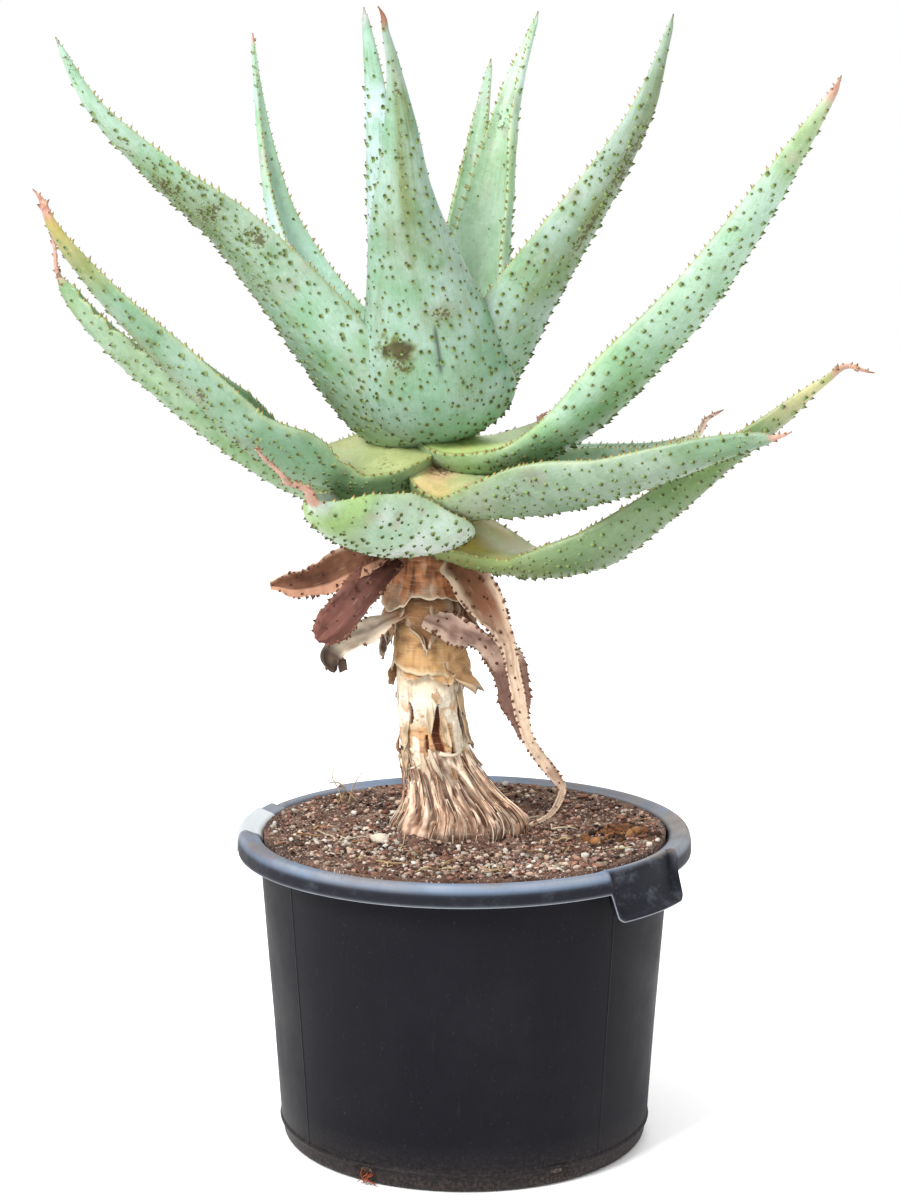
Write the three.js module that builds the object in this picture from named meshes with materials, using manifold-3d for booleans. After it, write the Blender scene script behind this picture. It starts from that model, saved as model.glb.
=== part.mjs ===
import * as THREE from "three";
import Module from "manifold-3d";

// Potted mountain aloe. Millimetres, +Z up, origin at the centre of the container's flat base.
// The front, where the leaning foot of the stem points to the right, looks along -Y.

const wasm = await Module();
wasm.setup();
const { Manifold, Mesh: SolidMesh } = wasm;

const gap = 0.3; // clearance between neighbouring pieces
const tipWide = 3.2; // width of a green leaf at its very tip

// Driving dimensions.

const pot = {
  sides: 30,
  rimOuter: 210,
  rimTop: 295.3,
  lipBottom: 271,
  wallTop: 190,
  wallThick: 2.8,
  footRadius: 165,
  grip: { middle: -39, spread: 28, thick: 3, steps: 4 },
  drains: { count: 6, wide: 15, high: 11, low: 6.5 },
};

const soil = { level: 280, clods: 2.6, stones: 8 };

// The middle of the leaf crown, seen from above: routes of leaves are measured from it.
const crown = { x: -33, y: 0 };

// Stem, from under the soil to the crown: height, middle x, middle y, half width in x and in y.
const stemRings = [
  [214, -7, 0, 57, 33],
  [272, -7, 0, 61, 35],
  [286, -6, 0, 63, 36],
  [297, -5, 0, 61, 35],
  [308, -6, 0, 53, 34],
  [322, -12, 0, 43, 32],
  [342, -20, 0, 36, 31],
  [358, -26, 0, 32, 30],
  [376, -29, 0, 30, 29],
  [400, -31, 0, 29, 28.5],
  [436, -33, 0, 29, 28.5],
  [500, -33, 0, 29, 28.5],
  [560, -33, 0, 29, 29],
  [620, -33, 0, 28, 28],
  [646, -33, 0, 24, 24],
  [662, -33, 0, 15, 15],
];

// Old leaf bases that wrap the stem: top, bottom, offset from the stem there, wave of the torn edge.
const sheaths = [
  { name: "sheath_upper", top: 540, bottom: 508, topOut: 0.5, bottomOut: 15, wave: 9, lobes: 3, turn: 60,
    thick: 2.2 },
  { name: "sheath_lower", top: 503, bottom: 438, topOut: 0.5, bottomOut: 5.2, wave: 9, lobes: 4, turn: 20,
    thick: 1.8 },
];

// Green leaves, the innermost first. az: compass angle seen from above, from +X towards +Y, in degrees.
// route: [out from the crown's middle, sideways, up] in mm. wide and thick in mm. cup: half angle in degrees
// that the cross-section is bent through at the root, the middle and the tip. roll: [share of the length,
// degrees of turn about the midrib].
const leaves = [
  { name: "leaf_heart", az: 80, route: [[6, 0, 650], [12, 0, 700], [16, 0, 750], [20, 0, 795]], wide: 46,
    thick: 13, cup: [70, 75, 60], roll: [[0, 0], [1, 0]], taper: 1.2, stations: 9, teeth: 3, back: 3 },
  { name: "leaf_front", az: 270, route: [[2, 2, 674], [46, 2, 668], [84, 2, 694], [110, -1, 745], [130, -9,
    800], [146, -18, 858], [163, -22, 925], [183, -28, 980], [205, -38, 1020]], wide: 170, thick: 22,
    cup: [44, 57, 62], roll: [[0, 0], [1, 0]], taper: 1.75, rootWide: 0.88 },
  { name: "leaf_front_slim", az: 222, route: [[12, 0, 654], [38, 0, 700], [50, 0, 780], [57, 0, 866], [64,
    0, 950], [74, 0, 1031]], wide: 78, thick: 15, cup: [80, 70, 70], roll: [[0, 0], [1, 0]], taper: 0.9 },
  { name: "leaf_rear_steep", az: 97, route: [[6, 0, 656], [52, 0, 682], [100, 0, 740], [150, 0, 800], [205,
    0, 845]], wide: 96, thick: 18, cup: [60, 55, 50], roll: [[0, 0], [1, 0]], taper: 1.1, stations: 10,
    teeth: 3, back: 3 },
  { name: "leaf_back_right", az: 42, route: [[8, 0, 652], [46, 0, 694], [67, 0, 770], [82, 0, 850], [93, 0,
    910], [108, 0, 970], [135, 0, 1037]], wide: 122, thick: 17, cup: [65, 55, 92], roll: [[0, 0], [1, 0]],
    taper: 1.25 },
  { name: "leaf_back", az: 70, route: [[8, 0, 646], [54, 0, 706], [84, 0, 790], [110, 0, 860], [134, 0,
    920], [170, 0, 998]], wide: 68, thick: 16, cup: [70, 70, 70], roll: [[0, 0], [1, 0]], taper: 1.1,
    rootWide: 0.9, stations: 11, back: 3 },
  { name: "leaf_back_left", az: 145, route: [[6, 0, 648], [56, 0, 680], [104, 0, 745], [144, 0, 800], [172,
    0, 852], [186, 0, 912], [194, 0, 966], [200, 0, 1019]], wide: 100, thick: 17, cup: [60, 65, 65],
    roll: [[0, 0], [1, 0]], taper: 1.7 },
  { name: "leaf_high_right", az: 322, route: [[4, 0, 652], [46, 0, 674], [84, 0, 724], [121, 0, 780], [161,
    0, 834], [199, 0, 886], [234, 0, 945], [258, 0, 1018]], wide: 120, thick: 19, cup: [50, 60, 60],
    roll: [[0, 0], [1, 0]], taper: 1.12 },
  { name: "leaf_high_left", az: 213, route: [[4, 0, 654], [52, 0, 666], [104, 0, 720], [156, 0, 782], [208,
    0, 838], [268, 0, 886], [326, 0, 940], [358, 0, 997]], wide: 142, thick: 21, cup: [50, 62, 62],
    roll: [[0, -4], [1, 8]], taper: 1.05 },
  { name: "leaf_mid_right", az: 335, route: [[0, -24, 640], [48, -14, 634], [98, 0, 646], [152, 0, 674],
    [208, 0, 726], [262, 0, 784], [316, 0, 862], [380, 0, 967]], wide: 124, thick: 21, cup: [24, 58, 60],
    roll: [[0, -14], [0.12, -4], [0.3, 0], [1, 20]], taper: 0.95, rootWide: 0.62 },
  { name: "leaf_far_right", az: 15, route: [[6, 0, 628], [90, 0, 624], [150, 0, 628], [210, 0, 632], [252,
    0, 644], [284, 0, 672]], wide: 84, thick: 16, cup: [40, 60, 60], roll: [[0, 0], [1, 0]], taper: 1.0,
    stations: 10, teeth: 3, back: 3 },
  { name: "leaf_rear", az: 90, route: [[6, 0, 632], [80, 0, 644], [150, 0, 698], [220, 0, 750], [285, 0,
    788]], wide: 104, thick: 18, cup: [45, 55, 50], roll: [[0, 0], [1, 0]], taper: 1.0, stations: 10,
    teeth: 3, back: 3 },
  { name: "leaf_low_left", az: 202, route: [[2, 14, 632], [56, 8, 620], [116, 0, 628], [165, 0, 656], [215,
    0, 702], [278, 0, 764], [330, 0, 824], [358, 0, 875]], wide: 134, thick: 20, cup: [36, 60, 60],
    roll: [[0, 30], [0.1, 16], [0.2, -8], [0.3, 0], [0.42, 13], [0.6, 8], [1, 0]], taper: 0.95,
    rootWide: 0.9 },
  { name: "leaf_rear_left", az: 150, route: [[6, 0, 616], [90, 0, 606], [150, 0, 630], [205, 0, 654], [262,
    0, 700]], wide: 96, thick: 17, cup: [45, 58, 55], roll: [[0, 0], [1, 0]], taper: 1.0, stations: 10,
    teeth: 3, back: 3 },
  { name: "leaf_rear_low", az: 62, route: [[6, 0, 608], [90, 0, 604], [150, 0, 614], [205, 0, 630], [250,
    0, 655]], wide: 90, thick: 17, cup: [45, 58, 55], roll: [[0, 0], [1, 0]], taper: 1.0, stations: 10,
    teeth: 3, back: 3 },
  { name: "leaf_under_left", az: 186, route: [[6, 0, 604], [64, 0, 600], [118, 0, 614], [170, 0, 644],
    [230, 0, 690], [287, 0, 740], [324, 0, 788], [337, 0, 838]], wide: 124, thick: 18, cup: [40, 56, 60],
    roll: [[0, 6], [1, 0]], taper: 0.8 },
  { name: "leaf_low_right", az: 325, route: [[10, -38, 605], [60, -18, 600], [130, 0, 604], [190, 0, 618],
    [250, 0, 638], [310, 0, 660], [366, 0, 676]], wide: 128, thick: 19, cup: [34, 58, 60], roll: [[0, -26],
    [0.2, -8], [1, 34]], taper: 0.95 },
  { name: "leaf_near_left", az: 242, route: [[2, 8, 576], [70, 6, 566], [122, 0, 576], [170, 0, 594], [205,
    0, 616], [252, 0, 644], [300, 0, 670]], wide: 170, thick: 20, cup: [58, 78, 65], roll: [[0, 0], [1,
    0]], taper: 2.3, rootWide: 0.95 },
  { name: "leaf_under_right", az: 342, route: [[4, -12, 568], [60, -5, 548], [105, 0, 541], [160, 0, 552],
    [207, 0, 584], [269, 0, 636], [322, 0, 678], [350, 0, 704], [374, 0, 720], [402, 0, 724]], wide: 104,
    thick: 18, cup: [45, 50, 60], roll: [[0, -26], [0.1, -8], [0.2, 14], [0.5, 12], [1, 0]], taper: 0.9,
    rootWide: 0.66 },
];

// Dry leaves on the stem, by the same rules. widths: [share of the length, width in mm].
const dryLeaves = [
  { name: "dry_leaf_left", az: 270, route: [[22, -26, 556], [28, -46, 550], [32, -79, 538], [31, -100,
    530], [30, -118, 525], [30, -143, 522]], widths: [[0, 18], [0.3, 32], [0.55, 34], [0.8, 25], [1, 6]],
    thick: 3.2, cup: [60, 62, 70], color: 0x94694f },
  { name: "dry_leaf_mauve", az: 270, route: [[28, -28, 546], [40, -49, 529], [50, -66, 511], [54, -83,
    493], [56, -100, 476]], widths: [[0, 24], [0.4, 28], [0.8, 27], [1, 20]], thick: 4.5, cup: [50, 40,
    40], color: 0x9a6a66 },
  { name: "dry_scrap", az: 270, route: [[25, -15, 501], [38, -38, 489], [44, -58, 480], [46, -76, 474],
    [46, -88, 462], [44, -84, 452], [43, -74, 453]], widths: [[0, 14], [0.4, 18], [0.8, 16], [1, 12]],
    thick: 2.4, cup: [30, 40, 60], color: 0xbfae98 },
  { name: "dry_strap", az: 270, route: [[34, 22, 548], [46, 42, 522], [54, 60, 494], [58, 71, 470], [60,
    78, 438], [62, 88, 392], [62, 101, 370], [60, 114, 353], [58, 121, 340], [55, 117, 325], [50, 108,
    312], [46, 92, 303]], widths: [[0, 46], [0.15, 42], [0.35, 15], [0.6, 13], [0.75, 12], [0.85, 7], [1,
    3.4]], thick: 3.6, cup: [55, 50, 40], color: 0xc79b78 },
  { name: "dry_leaf_folded", az: 270, route: [[37, -4, 492], [44, 18, 486], [42, 40, 478], [30, 60, 468],
    [22, 72, 448], [22, 78, 414], [32, 86, 380]], widths: [[0, 24], [0.3, 30], [0.5, 36], [0.75, 32], [1,
    9]], thick: 3, cup: [30, 30, 45], color: 0x7d655c },
];

const label = { from: 163, to: 187, thick: 0.7 };

const colors = {
  pot: 0x2a2e34, soil: 0x4a372b, stem: 0xa98358, sheath: 0x9c6f45, label: 0xf2f2ef, leaf: 0x9fbfa3,
};

const turn = Math.PI / 180;
const mix = (a, b, t) => a + (b - a) * t;
const smooth = (t) => t * t * (3 - 2 * t);
const clamp = (t) => Math.min(1, Math.max(0, t));

// Value at t in a list of [share, value].
function listed(list, t) {
  let k = 0;
  while (k < list.length - 2 && list[k + 1][0] < t) {
    k += 1;
  }
  const [[t0, v0], [t1, v1]] = [list[k], list[k + 1]];
  return mix(v0, v1, clamp((t - t0) / (t1 - t0)));
}

// A seeded random row, so that every build is the same.
function randomRow(seed) {
  let state = seed * 7919 + 17;
  return () => {
    state = (state * 1664525 + 1013904223) % 4294967296;
    return state / 4294967296;
  };
}

// Closed solid from points and triangles, turned the right side out.
function solidOf(points, faces) {
  let volume = 0;
  for (const [a, b, c] of faces) {
    volume += points[a].dot(new THREE.Vector3().crossVectors(points[b], points[c]));
  }
  const wound = volume < 0 ? faces.map(([a, b, c]) => [a, c, b]) : faces;
  return new Manifold(new SolidMesh({
    numProp: 3,
    vertProperties: Float32Array.from(points.flatMap((p) => [p.x, p.y, p.z])),
    triVerts: Uint32Array.from(wound.flat()),
  }));
}

// Skin over rings of equal length. Each end is closed by strips between point i and its mirror point.
function skinned(rings) {
  const count = rings[0].length;
  const points = rings.flat();
  const faces = [];
  for (let r = 0; r + 1 < rings.length; r += 1) {
    for (let i = 0; i < count; i += 1) {
      const j = (i + 1) % count;
      const a = r * count + i;
      const b = r * count + j;
      faces.push([a, b, b + count], [a, b + count, a + count]);
    }
  }
  const last = (rings.length - 1) * count;
  for (let i = 0; i < count / 2 - 1; i += 1) {
    const m = count - 1 - i;
    faces.push([i, m, i + 1], [i + 1, m, m - 1]);
    faces.push([last + i, last + i + 1, last + m], [last + i + 1, last + m - 1, last + m]);
  }
  return solidOf(points, faces);
}

// Solid of revolution about Z from a profile [radius, height] that starts and ends on the axis.
// shape(angle, radius, height) may move a point.
function turned(profile, sides, shape = (angle, r, z) => [r, z]) {
  const points = [];
  const rows = profile.map(([r, z]) => {
    if (r === 0) {
      points.push(new THREE.Vector3(0, 0, z));
      return [points.length - 1];
    }
    const row = [];
    for (let i = 0; i < sides; i += 1) {
      const angle = (i / sides) * 2 * Math.PI;
      const [radius, height] = shape(angle, r, z);
      points.push(new THREE.Vector3(radius * Math.cos(angle), radius * Math.sin(angle), height));
      row.push(points.length - 1);
    }
    return row;
  });
  const faces = [];
  for (let k = 0; k + 1 < rows.length; k += 1) {
    const a = rows[k];
    const b = rows[k + 1];
    for (let i = 0; i < sides; i += 1) {
      const j = (i + 1) % sides;
      if (a.length > 1) {
        faces.push([a[i], a[j], b[b.length > 1 ? j : 0]]);
      }
      if (b.length > 1) {
        faces.push([a[a.length > 1 ? i : 0], b[j], b[i]]);
      }
    }
  }
  return solidOf(points, faces);
}

// Solid made by carrying a closed profile [radius, height] round Z between two angles.
function sweptRound(profile, from, to, steps) {
  const count = profile.length;
  const points = [];
  const faces = [];
  for (let s = 0; s <= steps; s += 1) {
    const angle = mix(from, to, s / steps) * turn;
    for (const [r, z] of profile) {
      points.push(new THREE.Vector3(r * Math.cos(angle), r * Math.sin(angle), z));
    }
  }
  for (let s = 0; s < steps; s += 1) {
    for (let i = 0; i < count; i += 1) {
      const a = s * count + i;
      const b = s * count + ((i + 1) % count);
      faces.push([a, b, b + count], [a, b + count, a + count]);
    }
  }
  const flat = THREE.ShapeUtils.triangulateShape(profile.map(([r, z]) => new THREE.Vector2(r, z)), []);
  const clockwise = THREE.ShapeUtils.isClockWise(profile.map(([r, z]) => new THREE.Vector2(r, z)));
  for (const [a, b, c] of flat) {
    const end = steps * count;
    const front = clockwise ? [a, b, c] : [a, c, b];
    faces.push(front, [front[0] + end, front[2] + end, front[1] + end]);
  }
  return solidOf(points, faces);
}

// Three-sided prickle, rooted under the surface.
function prickle(at, direction, radius, length, sunk) {
  const helper = Math.abs(direction.z) < 0.8 ? new THREE.Vector3(0, 0, 1) : new THREE.Vector3(1, 0, 0);
  const u = new THREE.Vector3().crossVectors(direction, helper).normalize();
  const v = new THREE.Vector3().crossVectors(direction, u);
  const points = [0, 120, 240].map((a) => at.clone()
    .addScaledVector(direction, -sunk)
    .addScaledVector(u, radius * Math.cos(a * turn))
    .addScaledVector(v, radius * Math.sin(a * turn)));
  points.push(at.clone().addScaledVector(direction, length));
  return solidOf(points, [[0, 2, 1], [0, 1, 3], [1, 2, 3], [2, 0, 3]]);
}

const biggest = (solid) => solid.decompose().sort((a, b) => b.volume() - a.volume())[0];

// Container.

const gripFrom = pot.grip.middle - pot.grip.spread / 2;
const gripTo = pot.grip.middle + pot.grip.spread / 2;

function makePot() {
  const w = pot.wallThick;
  let body = turned([
    [0, 0], [pot.footRadius, 0], [pot.footRadius + 5, 4], [171.8, 16.5], [173.4, 18], [172.3, 21],
    [pot.wallTop, 270], [190.5, 284], [198, 287.5], [204.5, 283], [206.8, pot.lipBottom],
    [pot.rimOuter, pot.lipBottom], [209.6, 283], [205, 291.5], [196.5, pot.rimTop], [189.5, 293.8],
    [187.2, 286], [171.8 - w, 10], [pot.footRadius, 4], [0, 4],
  ], pot.sides);
  // Hand grips: the rolled lip gives way to a hollow scoop that reaches lower and flares at its edge.
  for (const opposite of [0, 180]) {
    const from = gripFrom + opposite;
    const to = gripTo + opposite;
    const room = sweptRound([[191.4, 262], [214, 262], [214, 300], [191.4, 300]], from, to, pot.grip.steps);
    const scoop = sweptRound([
      [188.4, 288], [189.6, 293.7], [194.5, 294.4], [199.5, 287], [203, 275], [207, 262], [212, 253],
      [218, 249.5], [217, 246.6], [210, 250], [203.8, 260], [199.6, 273.5], [195.6, 284], [191, 288],
    ], from, to, pot.grip.steps);
    const cheek = [[187.6, 259], [188.4, 289], [194.5, 292], [200, 284], [204, 269], [209, 256], [215, 249.6],
      [205, 253]];
    const thickness = (pot.grip.thick / 205) / turn;
    const near = sweptRound(cheek, from, from + thickness, 1);
    const far = sweptRound(cheek, to - thickness, to, 1);
    body = body.subtract(room).add(scoop).add(near).add(far);
  }
  // Drain holes through the foot of the wall.
  for (let i = 0; i < pot.drains.count; i += 1) {
    const middle = 29 + (360 * (i + 0.5)) / pot.drains.count;
    const half = pot.drains.wide / 2 / 170 / turn;
    const { low, high } = pot.drains;
    const section = [[158, low], [180, low], [180, low + high], [158, low + high]];
    const hole = sweptRound(section, middle - half, middle + half, 2);
    body = body.subtract(hole);
  }
  return body;
}

// Grid of the stem: rings of the table, with shallow grooves that run down the foot.
function makeStem(grow) {
  const around = 16;
  const rings = stemRings.map(([z, x, y, a, b], k) => {
    const ring = [];
    for (let i = 0; i < around; i += 1) {
      const angle = (i / around) * 2 * Math.PI;
      const foot = clamp((360 - z) / 70);
      const groove = 1 + 0.055 * foot * Math.sin(angle * 5 + 0.8) + 0.03 * foot * Math.sin(angle * 3 + 2.1)
        + (k > 7 && k < 14 ? 0.02 * Math.sin(angle * 4 + k * 1.7) : 0);
      ring.push(new THREE.Vector3(
        x + (a * groove + grow) * Math.cos(angle),
        y + (b * groove + grow) * Math.sin(angle),
        z,
      ));
    }
    return ring;
  });
  const top = stemRings[stemRings.length - 1];
  const low = stemRings[0];
  const points = rings.flat();
  const faces = [];
  for (let r = 0; r + 1 < rings.length; r += 1) {
    for (let i = 0; i < around; i += 1) {
      const j = (i + 1) % around;
      const a = r * around + i;
      const b = r * around + j;
      faces.push([a, b, b + around], [a, b + around, a + around]);
    }
  }
  const last = (rings.length - 1) * around;
  points.push(new THREE.Vector3(low[1], low[2], low[0] - grow));
  points.push(new THREE.Vector3(top[1], top[2], top[0] + 5 + grow));
  for (let i = 0; i < around; i += 1) {
    const j = (i + 1) % around;
    faces.push([points.length - 2, j, i], [points.length - 1, last + i, last + j]);
  }
  return solidOf(points, faces);
}

// Middle and half widths of the stem at a height.
function stemAt(z) {
  let k = 0;
  while (k < stemRings.length - 2 && stemRings[k + 1][0] < z) {
    k += 1;
  }
  const [z0, x0, y0, a0, b0] = stemRings[k];
  const [z1, x1, y1, a1, b1] = stemRings[k + 1];
  const t = clamp((z - z0) / (z1 - z0));
  return [mix(x0, x1, t), mix(y0, y1, t), mix(a0, a1, t), mix(b0, b1, t)];
}

// Papery sleeve round the stem, its lower edge torn in lobes and standing off.
function makeSheath(s) {
  const around = 20;
  const down = 4;
  const points = [];
  const faces = [];
  const layer = (extra) => {
    for (let r = 0; r <= down; r += 1) {
      for (let i = 0; i < around; i += 1) {
        const angle = (i / around) * 2 * Math.PI;
        const wave = 0.6 * Math.sin(angle * s.lobes + s.turn * turn)
          + 0.4 * Math.sin(angle * (s.lobes + 2) + 1.3);
        const t = r / down;
        const z = mix(s.top, s.bottom + wave * s.wave, t);
        const [x, y, a, b] = stemAt(z);
        const out = mix(s.topOut, s.bottomOut, t * t) + t * 2.5 * Math.sin(angle * 3 + s.turn) + extra;
        points.push(new THREE.Vector3(x + (a + out) * Math.cos(angle), y + (b + out) * Math.sin(angle), z));
      }
    }
  };
  layer(0);
  layer(s.thick);
  const half = (down + 1) * around;
  for (let i = 0; i < around; i += 1) {
    const j = (i + 1) % around;
    for (let r = 0; r < down; r += 1) {
      const a = r * around + i;
      const b = r * around + j;
      faces.push([a, b + around, b], [a, a + around, b + around]);
      faces.push([a + half, b + half, b + around + half], [a + half, b + around + half, a + around + half]);
    }
    const e = down * around;
    faces.push([i, j, j + half], [i, j + half, i + half]);
    faces.push([e + i, e + j + half, e + j], [e + i, e + i + half, e + j + half]);
  }
  return solidOf(points, faces);
}

// Values along a leaf at t = 0 (root) to 1 (tip): place, frame, width, thickness and cup.
function leafStation(leaf, t) {
  const az = leaf.az * turn;
  const outward = new THREE.Vector3(Math.cos(az), Math.sin(az), 0);
  const across = new THREE.Vector3(-Math.sin(az), Math.cos(az), 0);
  if (!leaf.curve) {
    const points = leaf.route.map(([out, side, up]) => new THREE.Vector3(crown.x, crown.y, up)
      .addScaledVector(outward, out)
      .addScaledVector(across, side));
    leaf.curve = new THREE.CatmullRomCurve3(points, false, "catmullrom", 0.5);
  }
  const place = leaf.curve.getPointAt(t);
  const along = leaf.curve.getTangentAt(t);
  const side = across.clone().addScaledVector(along, -across.dot(along)).normalize();
  const inward = new THREE.Vector3().crossVectors(along, side);
  const roll = (leaf.roll ? listed(leaf.roll, t) : 0) * turn;
  const normal = inward.clone().multiplyScalar(Math.cos(roll)).addScaledVector(side, Math.sin(roll));
  const sideways = side.clone().multiplyScalar(Math.cos(roll)).addScaledVector(inward, -Math.sin(roll));
  const swell = mix(leaf.rootWide ?? 0.78, 1, Math.sin(clamp(t / 0.18) * Math.PI / 2));
  const narrow = (1 - clamp((t - 0.18) / 0.82) ** 1.25) ** leaf.taper;
  const width = leaf.widths ? listed(leaf.widths, t) : tipWide + (leaf.wide - tipWide) * swell * narrow;
  const tipThick = leaf.thick < 8 ? 1.4 : 2;
  const thick = tipThick + (leaf.thick - tipThick) * (1 - t ** 1.5);
  const cup = t < 0.35
    ? mix(leaf.cup[0], leaf.cup[1], smooth(t / 0.35))
    : mix(leaf.cup[1], leaf.cup[2], smooth((t - 0.35) / 0.65));
  return { place, along, normal, sideways, width, thick, cup: cup * turn };
}

// Point on a leaf. v runs from margin to margin, -1 to 1; face is 1 on the inner side, -1 on the outer side.
function leafPoint(leaf, station, v, face, grow) {
  const { place, normal, sideways, width, thick, cup } = station;
  const edge = leaf.thick < 8 ? 1.0 : 1.9;
  const radius = (width / 2 + grow) / cup;
  const bend = v * cup;
  const full = (1 - v * v) ** 0.55;
  const offset = face > 0 ? 0.3 * thick * full + edge / 2 + grow : -(0.7 * thick * full + edge / 2 + grow);
  const outwards = normal.clone().multiplyScalar(Math.cos(bend)).addScaledVector(sideways, -Math.sin(bend));
  return place.clone()
    .addScaledVector(sideways, radius * Math.sin(bend))
    .addScaledVector(normal, radius * (1 - Math.cos(bend)))
    .addScaledVector(outwards, offset);
}

function leafBody(leaf, grow) {
  const stations = leaf.stations ?? 12;
  const cells = leaf.cells ?? 4;
  const rings = [];
  for (let s = 0; s < stations; s += 1) {
    const t = s / (stations - 1);
    const station = leafStation(leaf, t);
    if (s === 0) {
      station.place.addScaledVector(station.along, -grow);
    }
    if (s === stations - 1) {
      station.place.addScaledVector(station.along, grow);
    }
    const ring = [];
    for (let i = 0; i <= cells; i += 1) {
      ring.push(leafPoint(leaf, station, -1 + (2 * i) / cells, 1, grow));
    }
    for (let i = cells; i >= 0; i -= 1) {
      ring.push(leafPoint(leaf, station, -1 + (2 * i) / cells, -1, grow));
    }
    rings.push(ring);
  }
  return skinned(rings);
}

// Margin teeth and prickles, thinned out for the solid: both margins, the outer side and a few inside.
function leafPrickles(leaf, seed, grow) {
  const random = randomRow(seed);
  const list = [];
  const dry = leaf.thick < 8;
  const length = dry ? 4 : 5.5;
  const radius = dry ? 1.3 : 1.9;
  const start = dry ? 0.25 : 0.3;
  const put = (t, v, face) => {
    const station = leafStation(leaf, t);
    const at = leafPoint(leaf, station, v, face, 0);
    const bend = v * station.cup;
    const { normal, sideways } = station;
    const out = normal.clone().multiplyScalar(Math.cos(bend)).addScaledVector(sideways, -Math.sin(bend));
    const rim = sideways.clone().multiplyScalar(Math.cos(bend)).addScaledVector(normal, Math.sin(bend));
    const direction = Math.abs(v) === 1 ? rim.multiplyScalar(v) : out.multiplyScalar(face);
    if (Math.abs(v) === 1) {
      at.addScaledVector(out, -face * 0.9);
    }
    direction.addScaledVector(station.along, 0.35).normalize();
    const slim = Math.min(1, 0.55 + station.width / 60);
    const sunk = (dry ? 1.1 : 2.2) * slim;
    list.push(prickle(at, direction, radius * slim + grow, length * slim + grow * 2, sunk));
  };
  const teeth = leaf.teeth ?? 4;
  for (const v of [-1, 1]) {
    for (let i = 0; i < teeth; i += 1) {
      put(mix(start, 0.97, (i + 0.3 + 0.4 * random()) / teeth), v, 1);
    }
  }
  const back = leaf.back ?? 4;
  for (let i = 0; i < back; i += 1) {
    const v = [-0.5, 0.05, 0.55][i % 3] + 0.16 * (random() - 0.5);
    put(mix(start, 0.94, (i + 0.3 + 0.4 * random()) / back), v, -1);
  }
  const front = leaf.front ?? 0;
  for (let i = 0; i < front; i += 1) {
    put(mix(0.4, 0.9, (i + 0.5) / front), [0.3, -0.35][i % 2], 1);
  }
  return list;
}

const whole = (leaf, seed, grow) => Manifold.union([leafBody(leaf, grow), ...leafPrickles(leaf, seed, grow)]);

function makeSoil(stem) {
  const random = randomRow(5);
  const hump = (x, y) => 1.6 * Math.sin(x * 0.06 + 1) * Math.cos(y * 0.07)
    + (soil.clods / 2) * Math.sin(x * 0.19 + y * 0.11) * Math.cos(y * 0.23 - x * 0.07)
    + 6 * Math.exp(-((x - 140) ** 2 + (y + 22) ** 2) / 700);
  const inside = (z) => mix(171.8 - pot.wallThick, 187.2, (z - 10) / 276) - 0.4;
  let body = turned([
    [0, 4.4], [pot.footRadius - 0.6, 4.4], [inside(10), 10.3], [inside(284), 284], [178, soil.level + 6],
    [150, soil.level + 3], [112, soil.level + 0.2], [72, soil.level + 0.1], [0, soil.level],
  ], pot.sides, (angle, r, z) => [r, r > 180 || z < 20 || r < 60 ? z
    : z + hump(r * Math.cos(angle), r * Math.sin(angle))]);
  // Stones that lie half sunk in the surface.
  const stone = (x, y, size) => {
    const z = soil.level + 6 * clamp((Math.hypot(x, y) - 112) / 66) + hump(x, y);
    const points = [[1, 0, 0], [0, 0.8, 0], [-1, 0, 0], [0, -0.8, 0], [0, 0, 0.75], [0, 0, -0.9]]
      .map(([a, b, c]) => new THREE.Vector3(x + a * size, y + b * size, z + c * size));
    const upper = [[0, 1, 4], [1, 2, 4], [2, 3, 4], [3, 0, 4]];
    const lower = [[1, 0, 5], [2, 1, 5], [3, 2, 5], [0, 3, 5]];
    return solidOf(points, [...upper, ...lower]);
  };
  const stones = [stone(-79, -21, 9)];
  for (let i = 0; i < soil.stones; i += 1) {
    const angle = (i + 0.7 * random()) * 2 * Math.PI / soil.stones;
    const r = 84 + 84 * random();
    stones.push(stone(r * Math.cos(angle), r * Math.sin(angle), 2.6 + 2.6 * random()));
  }
  for (const one of stones) {
    body = body.add(one);
  }
  return body.subtract(stem);
}

// Label over the rim.

function makeLabel() {
  const lift = 0.6;
  const t = label.thick;
  const inner = [
    [187.2, 287], [189.5, 293.8], [196.5, pot.rimTop], [205, 291.5], [209.6, 283], [pot.rimOuter, 275],
  ];
  const shifted = (by) => inner.map(([r, z], i) => {
    const [r0, z0] = inner[Math.max(0, i - 1)];
    const [r1, z1] = inner[Math.min(inner.length - 1, i + 1)];
    const length = Math.hypot(r1 - r0, z1 - z0);
    return [r - ((z1 - z0) / length) * by, z + ((r1 - r0) / length) * by];
  });
  // Its bends fall on the container's own facets, so that it lies evenly over the lip.
  const facet = 360 / pot.sides;
  const first = Math.floor(label.from / facet);
  const last = Math.ceil(label.to / facet);
  const section = [...shifted(lift), ...shifted(lift + t).reverse()];
  const band = sweptRound(section, first * facet, last * facet, last - first);
  const wedge = sweptRound([[160, 250], [240, 250], [240, 320], [160, 320]], label.from, label.to, 3);
  return band.intersect(wedge);
}

const group = new THREE.Group();
group.name = "potted_mountain_aloe";

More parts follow.
